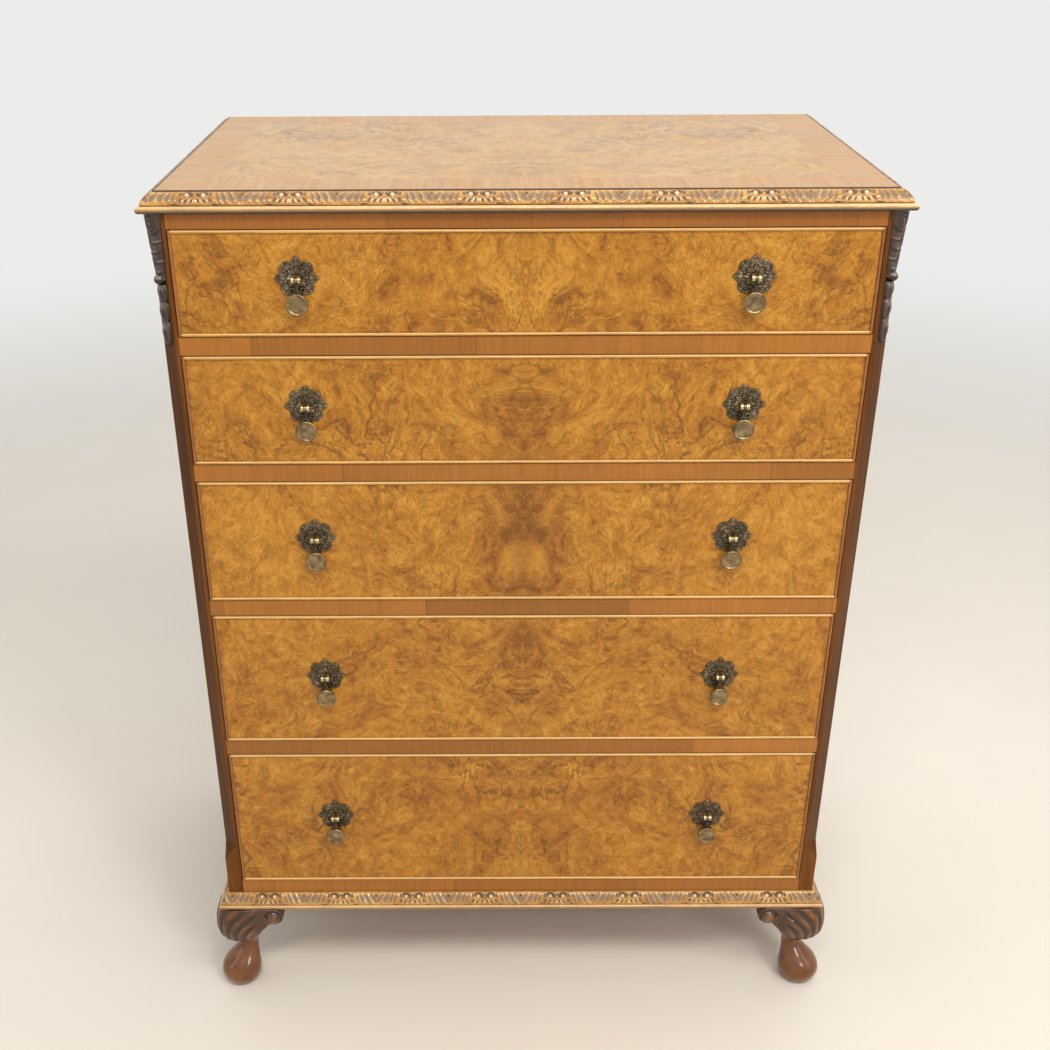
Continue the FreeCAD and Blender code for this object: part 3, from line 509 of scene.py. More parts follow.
edgeCarving = {
    "pitch": 92.2,          # one flower to the next
    "firstFlower": 46.1,    # middle of the front to its nearest flower
    "cut": 1.7,
    "step": 0.55,
    "slope": 15.5,          # height over which the cuts are drawn
    "joint": 2.1,           # width of the dark line against the top
    # half of a repeat: along from the flower's middle and height on the slope, then width, depth, lean
    "cuts": [
        ([(45.0, 0.8), (43.4, 7.8), (35.2, 14.2)], 3.3, 1.0, 0.60),
        ([(35.8, 0.8), (35.2, 8.4), (28.0, 14.2)], 3.1, 1.0, 0.60),
        ([(28.2, 0.8), (28.6, 8.0), (22.8, 14.2)], 2.6, 1.0, 0.55),
        ([(22.6, 0.8), (23.0, 7.4), (19.0, 13.6)], 1.7, 0.9, 0.50),
        ([(46.1, 8.4), (45.9, 11.0), (43.6, 14.4)], 0.8, 0.8, 0.0),
        ([(26.0, 0.9), (20.0, 0.4), (14.6, 0.9)], 0.7, 0.7, 0.0),
        ([(0.4, 13.6), (2.4, 11.6), (3.4, 6.8)], 1.1, 0.95, 0.0),
        ([(2.4, 6.0), (3.4, 4.2), (4.6, 0.9)], 0.9, 0.8, 0.0),
        ([(6.4, 5.2), (9.4, 4.4), (11.4, 0.9)], 1.1, 0.85, 0.0),
        ([(11.6, 6.6), (15.0, 6.0), (17.0, 1.2)], 1.4, 0.95, 0.3),
        ([(12.6, 8.0), (16.4, 10.8), (13.2, 14.2)], 1.6, 1.0, 0.4),
    ],
    "eye": (8.0, 10.2, 3.9, 1.5),       # place, radius and half width of the volute's groove
    # how dark the cuts are drawn (stain and painted shade) and how pale their edges (wear and painted highlight)
    "darkening": 1.0,
    "rim": 0.65,
    "lip": [1.00, 0.85, 0.1, -0.35, -0.45],     # painted shade on the lip's lower half, painted highlight on its upper half
}


def edgePattern(along, height, plan):
    # cut depth, 0 to 1, of the flower-and-leaf band, and a painted highlight on the volute's eye and the petals
    pitch = plan["pitch"]
    local = np.abs((along - plan["firstFlower"] + pitch / 2) % pitch - pitch / 2)
    depth = np.zeros_like(local)
    for points, width, share, lean in plan["cuts"]:
        depth = np.maximum(depth, gouge(local, height, points, width, share, lean))
    # fine ribs left by the gouge in the leaves
    ribs = 0.5 + 0.5 * np.cos((local * 0.83 + height * 0.55) * 3.6)
    depth *= np.where((local > 18) & (local < 45.6) & (height > 1.6), 0.78 + 0.22 * ribs, 1.0)
    x, y, radius, half = plan["eye"]
    ring = np.hypot(local - x, height - y)
    groove = unit(1 - ((ring - radius) / half) ** 2) ** 0.6
    groove *= np.clip(0.75 + ((height - y) - (local - x) * 0.4) / 6.0, 0.25, 1)
    petals = hump(height - 3.4, 2.0) * (local < 13)
    # painted highlight on the eye and the petals
    flowerGlint = np.maximum(0.65 * hump(ring, 1.8), 0.34 * petals)
    depth = np.maximum(depth, groove)
    return depth, flowerGlint * unit(1 - depth / 0.25)


def arcPoints(first, via, last, count):
    # points along the circle through three places
    (ax, ay), (bx, by), (cx, cy) = first, via, last
    d = 2 * (ax * (by - cy) + bx * (cy - ay) + cx * (ay - by))
    a, b, c = (x ** 2 + y ** 2 for x, y in (first, via, last))
    ux = (a * (by - cy) + b * (cy - ay) + c * (ay - by)) / d
    uy = (a * (cx - bx) + b * (ax - cx) + c * (bx - ax)) / d
    angles = np.unwrap([math.atan2(y - uy, x - ux) for x, y in (first, via, last)])
    radius = math.hypot(ax - ux, ay - uy)
    way = np.linspace(angles[0], angles[2], count)
    return np.stack([ux + radius * np.cos(way), uy + radius * np.sin(way)], axis=1)


def slopeNormals(outline):
    run = np.gradient(outline, axis=0)
    length = np.hypot(run[:, 0], run[:, 1])[:, None]
    return np.stack([run[:, 1], -run[:, 0]], axis=1) / length


def carvedMoulding(name, node, profile, plan, span):
    # profile: lip, carved slope and closing points, each as depth behind the outer face and height
    low, high = (np.array(v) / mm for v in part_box(node))
    half = high[0]
    front, back, base = low[1], high[1], low[2]
    lip, slope, rest = profile
    outline = np.concatenate([lip, slope, rest])
    carved = np.zeros(len(outline), bool)
    carved[len(lip):len(lip) + len(slope)] = True
    normals = np.zeros_like(outline)
    normals[carved] = slopeNormals(slope)
    reach = np.concatenate([[0], np.cumsum(np.hypot(*np.diff(slope, axis=0).T))])
    height = np.zeros(len(outline))
    height[carved] = reach / reach[-1] * plan["slope"]
    seam = np.zeros(len(outline))
    rise = lip[:, 1] / lip[:, 1].max()
    # painted shade on the lip's lower half and a painted highlight on its upper half
    seam[:len(lip)] = np.interp(rise, [0.0, 0.35, 0.55, 0.75, 1.0], plan["lip"])
    seam[len(lip) - 1] = 1.0                                          # quirk over the lip
    seam[outline[:, 0] > outline[:, 0].max() - plan["joint"]] = 1.0    # dark joint behind

    def sweep(part, count, ends, along, toGrid):
        # ends(depth) gives where a line of the profile starts and stops at the mitres
        way = np.linspace(0, 1, count)[:, None]
        start, stop = ends(outline[:, 0])
        run = start + way * (stop - start)
        depth, flowerGlint = edgePattern(along(run), np.broadcast_to(height, run.shape), plan)
        fade = np.where(carved, unit(np.minimum(height, plan["slope"] - height) / 0.5), 0)
        depth = depth * fade
        cut = depth * plan["cut"]
        inward = outline[:, 0] + normals[:, 0] * cut
        level = outline[:, 1] + normals[:, 1] * cut
        # edges of the cuts are drawn pale (rubbed wear and a painted highlight), the cuts dark (stain and painted
        # shade)
        rim = unit(1 - np.abs(depth - 0.10) / 0.10) * (height > 1.2)
        shadeStainAndGlint = np.where(carved, depth * plan["darkening"] - np.maximum(plan["rim"] * rim, flowerGlint), seam)
        shell = Shell()
        shell.addTube(toGrid(run, inward, level + base), shadeStainAndGlint)
        shell.build(f"{name}_{part}", "carved_edge", "case", node)

    frontCount = int(2 * half / plan["step"])
    sideCount = int((back - front) / plan["step"])
    sweep("front", frontCount, lambda d: (-(half - d), half - d), lambda run: run,
          lambda run, d, z: np.stack([run, front + d, z], axis=-1))

    def leftGrid(run, d, z):
        return np.stack([-half + d, run, z], axis=-1)[::-1]

    def rightGrid(run, d, z):
        return mirrorGrid(leftGrid(run, d, z))

    for part, sideGrid in (("left", leftGrid), ("right", rightGrid)):
        sweep(part, sideCount, lambda d: (front + d, np.full_like(d, back)),
              lambda run: span - (run - front), sideGrid)


topProfile = (
    np.append(arcPoints((3.5, 0.0), (0.0, 3.5), (3.5, 7.0), 11), [(4.7, 7.3)], axis=0),
    arcPoints((4.1, 7.9), (8.4, 15.8), (15.2, 18.9), 36),
    np.array([(15.5, 18.9), (15.7, 20.0), (17.5, 20.0), (17.5, 0.0)]),
)
carvedMoulding("topEdge", "top_moulding", topProfile, edgeCarving, 381.0)

baseCarving = dict(edgeCarving, cut=2.1, darkening=0.85, joint=0.01, rim=1.0,
                   lip=[0.8, 0.3, 0.0, -0.3, -0.45])
baseProfile = (
    np.append(arcPoints((2.0, 0.0), (0.0, 2.9), (2.0, 5.8), 11), [(2.9, 6.0)], axis=0),
    arcPoints((2.4, 6.4), (4.9, 13.0), (11.4, 19.4), 36),
    np.array([(11.6, 20.0), (12.7, 20.0), (13.0, 20.0), (13.0, 0.0)]),
)
carvedMoulding("baseEdge", "base_moulding", baseProfile, baseCarving, 386.0)
print("edge mouldings carved")


# corner carvings: relief laid on the canted corner

cornerCarving = {
    "length": 138.0,
    "cant": 14.5,           # how far the canted corner cuts into the post
    "rows": 420,
    "columns": 65,
    "reach": (10.6, 4.6),       # how far the console stands off, at its head and over the ball
    "halfWidth": (10.0, 8.8, 6.8),      # of the console, at its head, its waist and the ball
    "waist": 30.0,
    "leaves": [21.5, 30.5, 41.0, 50.5, 61.5],     # edges of the rolled leaves, down the console
    "curl": (3.0, 10.0, 5.2, 9.0),      # middle and size of the curled leaf at the head
    "roll": 2.3,
    "ballPlace": 67.0,
    "ballRadius": 4.8,
    # husks under the ball: from, to, width, rise
    "husks": [(72.0, 91.0, 15.2, 3.4), (90.5, 112.0, 14.6, 3.6), (111.5, 135.0, 13.0, 3.6)],
}


def smoothStep(low, high, value):
    way = unit((value - low) / (high - low))
    return way * way * (3 - 2 * way)


def cornerRelief(down, across, plan):
    # how far the carving stands off the cant at a distance down it and across it
    body = down < plan["ballPlace"]
    half = np.interp(down, [0, plan["waist"], plan["ballPlace"]], plan["halfWidth"])
    rounded = unit(1 - (across / half) ** 2) ** 0.42
    plain = np.interp(down, [0, plan["ballPlace"]], plan["reach"]) * rounded
    # leaves that overlap downwards, thick at their tips, with clefts under them; painted shade in the clefts and a
    # painted highlight just above each tip
    sway = 1.8 * np.sin(0.30 * down)
    sagging = down + 0.105 * (across - 3.4 - sway) ** 2
    edges = np.array([3.0] + plan["leaves"])
    index = np.clip(np.searchsorted(edges, sagging) - 1, 0, len(edges) - 1)
    following = np.append(edges[1:], edges[-1] + 8)
    way = unit((sagging - edges[index]) / (following - edges)[index])
    leaf = smoothStep(-0.15, 0.75, way) * (1 - smoothStep(0.86, 1.0, way))
    stripes = 0.5 + 0.5 * np.cos(across * 2.1 + 0.16 * down)
    console = plain + (plan["roll"] * (leaf - 1) - 0.30 * stripes * leaf) * rounded
    cleft = np.maximum(1 - smoothStep(0.0, 0.30, way), smoothStep(0.93, 1.0, way))
    crest = hump(way - 0.74, 0.11) * hump(across - 4.0 - sway, 3.6)
    hollow = 0.9 * cleft - 0.95 * crest * (0.75 + 0.25 * stripes)
    # a curled leaf at the head
    curlX, curlDown, curlWide, curlTall = plan["curl"]
    oval = np.hypot((across - curlX) / curlWide, (down - curlDown) / curlTall)
    curl = np.maximum(hump(oval - 0.42, 0.10), hump(oval - 0.86, 0.09))
    head = sagging < plan["leaves"][0]
    console = np.where(head, plain - 1.2 * curl * rounded - 0.8 * smoothStep(17, 21, sagging), console)
    # painted shade in the curl's grooves and under the head, a painted highlight on its raised middle
    raised = hump(oval, 0.35)
    headHollow = np.maximum(0.9 * curl, smoothStep(19.5, 21.5, sagging)) - 0.45 * raised
    hollow = np.where(head, headHollow, hollow) * body
    height = np.where(body, np.clip(console, 0, None), 0)
    fromBall = np.hypot(across, down - plan["ballPlace"])
    gap = plan["ballRadius"] ** 2 - fromBall ** 2
    ball = np.where(gap > 0, 3.9 + np.sqrt(np.clip(gap, 0, None)), 0)
    # painted highlight on the top half of the ball, painted shade on its lower half
    hollow = np.where(ball > height, 0.5 - 1.4 * smoothStep(-1.0, 2.6, plan["ballPlace"] - down), hollow)
    height = np.maximum(height, ball)
    for start, stop, width, rise in plan["husks"]:
        way = unit((down - start) / (stop - start))
        inside = (way > 0) & (way < 1)
        swell = np.sin(np.pi * unit(0.10 + 0.84 * way ** 0.85))
        edge = width / 2 * swell ** 0.5
        lobe = unit(1 - (across / np.maximum(edge, 0.1)) ** 2) ** 0.5
        groove = hump(np.abs(across) - width * 0.17, 0.7)
        groove *= smoothStep(0.15, 0.4, way) * (1 - smoothStep(0.8, 0.95, way))
        shape = np.where(inside, np.clip((1.9 + rise * swell ** 0.7 - 1.0 * groove) * lobe, 0, None), 0)
        # painted shade in the grooves and thin edges of each husk, a painted highlight near its top
        pinch = unit(1 - shape / 2.8)
        crest = hump(way - 0.22, 0.16) * lobe ** 2
        hollow = np.where(inside & (shape >= height), np.maximum(groove, pinch) - 0.6 * crest, hollow)
        height = np.maximum(height, shape)
    return height, hollow


def cornerScrolls(plan):
    postLow, postHigh = (np.array(v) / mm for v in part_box("corner_posts"))
    leg = plan["cant"]
    down = np.linspace(0, plan["length"], plan["rows"])[:, None]
    share = np.linspace(-1, 1, plan["columns"])[None, :]
    half = np.interp(down, [0, 30, 64, 72, plan["length"]], [10.1, 8.9, 7.2, 7.9, 6.4])
    across = half * share
    down = np.broadcast_to(down, across.shape)
    height, hollow = cornerRelief(down, across, plan)
    height[:, 0] = height[:, -1] = 0
    shell = Shell()
    centre = np.array([postLow[0] + leg / 2, postLow[1] + leg / 2])
    out = np.array([-1, -1]) / math.sqrt(2)
    side = np.array([1, -1]) / math.sqrt(2)

    def place(offset, lift):
        x = centre[0] + side[0] * offset + out[0] * lift
        y = centre[1] + side[1] * offset + out[1] * lift
        return np.stack([x, y, postHigh[2] - down], axis=-1)

    outer = place(across, height)
    inner = place(across, np.full_like(across, -0.4))[:, [0, -1]]      # flat behind
    grid = np.concatenate([outer, inner[:, ::-1]], axis=1)
    depth = np.concatenate([hollow, np.zeros_like(hollow[:, :2])], axis=1)
    shell.addTube(grid, depth)
    shell.addTube(mirrorGrid(grid), depth[:, ::-1])
    shell.build("cornerCarvings", "carved_walnut", "case", "corner_scrolls", sharp=60)


cornerScrolls(cornerCarving)
print("corner carvings laid")


# cabriole feet, shaped as one blended volume and then skinned

footShape = {
    "kneeOut": 21.5,        # faces of the knee past the case
    "levels": [0.0, 2.6, 6.6, 19.0, 32.0, 42.0, 52.0, 60.0, 67.5, 76.8, 88.4, 102.8, 118.2, 128.0],
    "radius": [16.2, 19.8, 22.6, 25.8, 22.6, 16.8, 12.6, 12.4, 16.6, 25.2, 29.5, 30.7, 28.6, 24.6],
    "inset": [4.3, 4.3, 4.3, 4.2, 6.1, 10.5, 14.5, 15.0, 13.3, 10.6, 9.5, 9.5, 9.5, 9.5],
    "square": [2.0, 2.0, 2.0, 2.0, 2.0, 2.0, 2.0, 2.0, 2.1, 2.4, 2.7, 2.8, 2.8, 2.8],
    "earFace": -13.5,
    "earBack": 12.5,
    "earEnd": (55.0, 115.0, 13.0),      # middle and size of the scroll
    "earUnder": [(37.0, 85.8), (15.0, 73.4)],       # bend and end of the line under the ear
    "earRounding": 4.5,
    "boss": (54.5, 113.5, 8.2),
    "fan": (58.0, 70.0),        # where the lobes of the knee start and how far they run up
    "lobes": 1.55,
    "cut": 2.4,
    "step": 1.0,
    "reach": (-24.0, 72.0),     # what the skin is looked for in, across and deep
}


def smoothCurve(places, values, wanted):
    # cubic through the stations, with slopes from their neighbours
    places, values = np.array(places), np.array(values)
    slopes = np.gradient(values, places)
    index = np.clip(np.searchsorted(places, wanted) - 1, 0, len(places) - 2)
    gap = places[index + 1] - places[index]
    way = unit((wanted - places[index]) / gap)
    square, cube = way ** 2, way ** 3
    start = (2 * cube - 3 * square + 1) * values[index] + (cube - 2 * square + way) * gap * slopes[index]
    stop = (3 * square - 2 * cube) * values[index + 1] + (cube - square) * gap * slopes[index + 1]
    return start + stop


def smoothMin(first, second, blend):
    way = unit(0.5 + 0.5 * (second - first) / blend)
    return second * (1 - way) + first * way - blend * way * (1 - way)


def outlineDistance(x, y, corners):
    # signed distance to a closed outline, less than nothing inside it
    nearest = np.full(x.shape, 1e9)
    inside = np.zeros(x.shape, bool)
    for (ax, ay), (bx, by) in zip(corners, np.roll(corners, -1, axis=0)):
        ex, ey = bx - ax, by - ay
        way = unit(((x - ax) * ex + (y - ay) * ey) / max(ex * ex + ey * ey, 1e-9))
        nearest = np.minimum(nearest, np.hypot(x - ax - way * ex, y - ay - way * ey))
        crosses = (ay > y) != (by > y)
        inside ^= crosses & (x < (bx - ax) * (y - ay) / (by - ay if by != ay else 1e-9) + ax)
    return np.where(inside, -nearest, nearest)


def earOutline(plan):
    x, z, size = plan["earEnd"]
    turn = np.linspace(np.pi / 2, -np.pi * 0.62, 26)
    scroll = np.stack([x + size * np.cos(turn), z + size * np.sin(turn)], axis=1)
    under = bezier([scroll[-1], *plan["earUnder"]], 20)
    return np.concatenate([[(12.0, z + size)], scroll, under[1:], [(12.0, under[-1][1])]])


def footCut(x, y, z, plan, frontEar):
    # lobes fan from the ankle over the knee; a boss ends each ear
    unfolded = x - y
    fanFrom, fanRise = plan["fan"]
    way = unit((z - fanFrom) / fanRise)
    lean = unfolded / (9 + 31 * way) * (1 + 0.35 * np.sin(np.pi * way))
    turns = lean * plan["lobes"] + 0.25 * np.sin(2.6 * way) + 0.04 * np.sin(0.17 * z + 0.11 * unfolded)
    lobe = 0.5 + 0.5 * np.cos(2 * np.pi * turns)
    veins = 0.5 + 0.5 * np.cos(6 * np.pi * turns)
    strength = smoothStep(0.12, 0.32, way) * (1 - 0.6 * smoothStep(0.93, 1.0, way))
    nearFace = 1 - smoothStep(2, 12, np.minimum(x, y))
    knee = strength * nearFace * (1 - smoothStep(43, 50, np.abs(unfolded)))
    cut = (0.85 * (1 - lobe) ** 1.6 + 0.15 * (1 - veins)) * knee
    # crests of the lobes drawn pale: wear and a painted highlight
    wearAndGlint = smoothStep(0.55, 1.0, lobe) * knee * (0.62 + 0.38 * np.sin(0.13 * z + 0.19 * unfolded))
    for along, off, wanted in ((x, y, frontEar), (y, x, True)):
        if not wanted:
            cut = np.where(unfolded > 0, 0, cut)
            wearAndGlint = np.where(unfolded > 0, 0, wearAndGlint)
            continue
        onFace = (off < -3) & (along > 14)
        bossX, bossZ, bossSize = plan["boss"]
        ring = np.hypot(along - bossX, z - bossZ)
        angle = np.arctan2(z - bossZ, along - bossX)
        crescent = unit(1 - ((ring - bossSize - 1.8) / 2.0) ** 2)
        crescent *= smoothStep(-0.5, 0.4, angle + 0.6)
        atEnd = onFace & (along > 36)
        cut = np.where(atEnd, np.maximum(cut * 0.2, crescent), cut)
        # the boss drawn pale: wear and a painted highlight
        wearAndGlint = np.where(atEnd, 1 - smoothStep(2.0, bossSize, ring), wearAndGlint)
    return cut, wearAndGlint


def footField(x, y, z, plan, frontEar):
    level = z[0, 0]
    radius = smoothCurve(plan["levels"], plan["radius"], level)
    inset = smoothCurve(plan["levels"], plan["inset"], level)
    square = smoothCurve(plan["levels"], plan["square"], level)
    # distances in plan are kept in the foot's own corner, so the rear foot is only slid inwards
    across = np.abs(x - inset) + 1e-6
    deep = np.abs(y - inset) + 1e-6
    leg = (across ** square + deep ** square) ** (1 / square) - radius
    solid = leg
    flat = earOutline(plan)
    boss = plan["boss"]
    for along, off, wanted, axis in ((x, y, frontEar, 0), (y, x, True, 1)):
        if not wanted:
            continue
        line = along[:, 0, 0] if axis == 0 else along[0, :, 0]
        plane = outlineDistance(*np.meshgrid(line, level, indexing="ij"), flat)
        plane = plane[:, None, :] if axis == 0 else plane[None, :, :]
        half = (plan["earBack"] - plan["earFace"]) / 2
        middle = (plan["earBack"] + plan["earFace"]) / 2
        first = plane + plan["earRounding"]
        second = np.abs(off - middle) - half + plan["earRounding"]
        outside = np.hypot(np.maximum(first, 0), np.maximum(second, 0))
        ear = np.minimum(np.maximum(first, second), 0) + outside - plan["earRounding"]
        knob = np.sqrt((along - boss[0]) ** 2 + (off + 9.5) ** 2 + (z - boss[1]) ** 2) - boss[2]
        solid = smoothMin(solid, smoothMin(ear, knob, 1.2), 6.0)
    solid = solid + footCut(x, y, z, plan, frontEar)[0] * plan["cut"]
    return np.maximum(np.maximum(solid, z - plan["levels"][-1]), -z)


def skinField(field, start, step):
    # one point in every cell that the surface crosses, one face for every edge it cuts
    shape = np.array(field.shape) - 1
    total = np.zeros((*shape, 3))
    count = np.zeros(shape)
    corner = [np.array(c) for c in np.ndindex(2, 2, 2)]
    for first in corner:
        for axis in range(3):
            if first[axis]:
                continue
            second = first.copy()
            second[axis] = 1
            a = field[tuple(slice(c, c + s) for c, s in zip(first, shape))]
            b = field[tuple(slice(c, c + s) for c, s in zip(second, shape))]
            crossed = (a < 0) != (b < 0)
            way = np.where(crossed, a / np.where(crossed, a - b, 1), 0)
            count += crossed
            for k in range(3):
                total[..., k] += np.where(crossed, first[k] + (way if k == axis else 0), 0)
    used = count > 0
    index = np.full(shape, -1)
    index[used] = np.arange(used.sum())
    cells = np.argwhere(used)
    points = np.array(start) + step * (cells + total[used] / count[used][:, None])
    faces = []
    inside = field < 0
    for axis in range(3):
        one, two = (axis + 1) % 3, (axis + 2) % 3
        low = [slice(1, -1)] * 3
        high = [slice(1, -1)] * 3
        low[axis], high[axis] = slice(0, -1), slice(1, None)
        starts, stops = inside[tuple(low)], inside[tuple(high)]
        spots = np.argwhere(starts != stops) + np.array([0 if k == axis else 1 for k in range(3)])
        leaving = starts[starts != stops]
        quad = []
        for shiftOne, shiftTwo in ((-1, -1), (0, -1), (0, 0), (-1, 0)):
            cell = spots.copy()
            cell[:, one] += shiftOne
            cell[:, two] += shiftTwo
            quad.append(index[cell[:, 0], cell[:, 1], cell[:, 2]])
        quad = np.stack(quad, axis=1)
        quad[~leaving] = quad[~leaving][:, ::-1]
        faces.append(quad)
    return points, np.concatenate(faces)


def buildFeet(name, node, frontEar, plan):
    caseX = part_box("left_side")[0][0] / mm
    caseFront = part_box("corner_posts")[0][1] / mm
    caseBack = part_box("back_panel")[1][1] / mm
    step = plan["step"]
    reach = np.arange(*plan["reach"], step)
    rise = np.arange(-step, plan["levels"][-1] + 2 * step, step)
    x, y, z = np.meshgrid(reach, reach, rise, indexing="ij", sparse=True)
    field = footField(x, y, z, plan, frontEar)
    points, quads = skinField(field, (reach[0], reach[0], rise[0]), step)
    cut, wearAndGlint = footCut(*points.T, plan, frontEar)
    # darker over the top of the knee; grooves dark (stain and painted shade), crests pale (wear and painted
    # highlight)
    darkening = smoothStep(70, 86, points[:, 2]) * (np.minimum(points[:, 0], points[:, 1]) < 0) * 0.29
    hollow = np.maximum(0.66 * cut, darkening) - 0.42 * wearAndGlint
    if frontEar:
        placed = points + np.array([caseX, caseFront, 0])
    else:
        placed = points * np.array([1, -1, 1]) + np.array([caseX, caseBack - plan["kneeOut"], 0])
        quads = quads[:, ::-1]
    shell = Shell()
    shell.addSkin(placed, quads, hollow)
    shell.addSkin(placed * np.array([-1, 1, 1]), quads[:, ::-1], hollow)
    shell.build(name, "dark_walnut", "case", node, sharp=70)


buildFeet("frontFeet", "front_feet", True, footShape)
buildFeet("rearFeet", "rear_feet", False, footShape)
print("feet carved")


# handles: embossed rosettes and turned drops

plateShape = {
    "valley": 17.0,         # radius between two lobes
    "pointed": 22.6,        # tips at the four quarters
    "round": 20.6,          # lobes between them
    "thick": 0.8,
    "relief": 1.0,
    "solidReach": 22.5,     # from the middle of the solid plate to its tips
    "rings": 40,
    "spokes": 256,
}


def plateGrid(plan):
    turn = np.linspace(0, 2 * np.pi, plan["spokes"], endpoint=False)[None, :]
    share = np.linspace(0.10, 1, plan["rings"])[:, None]
    eighth = np.pi / 4
    lobe = np.round(turn / eighth)
    off = turn - lobe * eighth                          # angle from the nearest lobe's middle
    aside = np.abs(off) / (eighth / 2)
    pointed = plan["valley"] + (plan["pointed"] - plan["valley"]) * (1 - aside) ** 1.15
    rounded = plan["valley"] + (plan["round"] - plan["valley"]) * np.sqrt(1 - aside ** 2)
    rim = np.where(lobe % 2 == 0, pointed, rounded)
    radius = rim * share
    x = radius * np.cos(turn)
    z = radius * np.sin(turn)
    along = radius * np.cos(off)
    across = radius * np.sin(off)
    border = hump(share - 0.94, 0.04)
    midrib = hump(across, 0.7) * smoothStep(7, 9, along)
    curl = hump(np.hypot(along - 14.6, np.abs(across) - 2.5) - 1.5, 0.55)
    pip = hump(np.hypot(along - 11.0, np.abs(across) - 3.6), 0.9)
    petals = 0.5 + 0.5 * np.cos(turn * 16 + 2.2 * np.sin(share * 11))
    inner = np.sin(unit((share - 0.22) / 0.30) * np.pi) * petals
    groove = hump(share - 0.56, 0.035)
    chasing = 0.5 + 0.5 * np.sin(1.9 * x + 0.8 * z) * np.sin(1.7 * z - 0.6 * x + 0.8)
    relief = 0.18 + 0.45 * border + 0.40 * midrib + 0.50 * curl + 0.55 * pip + 0.45 * inner
    relief += 0.22 * chasing - 0.30 * groove
    lift = plan["thick"] + plan["relief"] * np.clip(relief, 0, 1.0)
    hollow = unit(0.90 - 0.95 * relief)
    front = np.stack([x, -lift, z], axis=-1)
    backEdge = front[-1:] * np.array([1, 0, 1])
    backInner = front[:1] * np.array([1, 0, 1])
    grid = np.concatenate([backInner, front, backEdge], axis=0)
    shade = np.concatenate([hollow[:1], hollow, hollow[-1:]], axis=0)
    return grid, shade


dropShape = {
    "length": 24.0,
    "bore": 1.06,
    "eye": [(-1.5, 2.98), (-1.3, 3.2), (1.3, 3.2), (1.5, 2.98)],       # along the pin, radius
    # stations of the stem: down, half width, half depth, forward
    "stem": [(2.0, 1.4, 1.4, 0.0), (4.4, 1.5, 1.5, 0.0), (7.0, 1.8, 1.8, -0.1), (10.0, 2.8, 2.2, -0.5),
             (13.0, 4.6, 2.5, -0.9), (16.0, 6.8, 2.3, -1.3), (18.6, 8.0, 1.7, -1.5)],
    # button turned about its own axis: forward, radius
    "turned": [(1.9, 0.0), (1.9, 3.4), (1.2, 5.8), (-0.2, 8.2), (-1.6, 10.1), (-2.8, 11.2), (-4.0, 11.5),
               (-5.0, 11.4), (-5.7, 10.9), (-6.0, 10.2), (-5.8, 9.6), (-5.3, 9.2), (-5.1, 8.6),
               (-5.6, 5.0), (-5.9, 0.0)],
}


def turned(profile, steps):
    # rings of a turned piece about the hinge's own direction: place along it and radius
    turn = np.linspace(0, 2 * np.pi, steps, endpoint=False)
    rings = [np.column_stack([np.full(steps, x), r * np.cos(turn), r * np.sin(turn)]) for x, r in profile]
    return np.stack(rings)


def dropGrids(plan):
    ends = [(plan["eye"][end][0], plan["bore"]) for end in (0, -1)]
    eye = turned([ends[0], *plan["eye"], ends[1]], 40)
    turn = np.linspace(0, 2 * np.pi, 40, endpoint=False)
    stem = np.stack([np.column_stack([w * np.cos(turn), f + d * np.sin(turn), np.full(40, -down)])
                     for down, w, d, f in plan["stem"]])
    button = turned([(f, max(r, 0.25)) for f, r in plan["turned"]], 64)[..., [1, 0, 2]]
    return eye, stem, button - np.array([0, 0, plan["length"]])


def outward(grid):
    # turns a tube's faces outwards by the sign of its volume
    middle = grid.mean(axis=(0, 1))
    normals = np.cross(np.roll(grid, -1, axis=1) - grid, np.gradient(grid, axis=0))
    return grid if np.sum(normals * (grid - middle)) < 0 else grid[:, ::-1]


plate, plateShade = plateGrid(plateShape)
for joint in frame["joints"]:
    if joint["type"] != "hinge":
        continue
    dropName = joint["child"]
    pivot = np.array(joint["pos_m"]) / mm
    drop = Shell()
    eye, stem, button = (outward(grid) + pivot for grid in dropGrids(dropShape))
    drop.addRing(eye, np.zeros(eye.shape[:2]))
    drop.addTube(stem, np.full(stem.shape[:2], 0.55))
    drop.addTube(button, np.zeros(button.shape[:2]))
    drop.build(dropName + "_turned", "antique_brass", dropName, dropName, sharp=50, finish=dropBrass)

for number in range(1, 6):
    label = f"drawer_{number}"
    low, high = (np.array(v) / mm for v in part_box(label + "_handle_plates"))
    middleZ = (low[2] + high[2]) / 2
    tipReach = plateShape["solidReach"]
    rosettes = Shell()
    for x in (low[0] + tipReach, high[0] - tipReach):
        rosettes.addRing(plate + np.array([x, high[1], middleZ]), plateShade)
    rosettes.build(label + "_rosettes", "antique_brass", label, label + "_handle_plates", sharp=70)
print("handles made")


# floor, light and camera

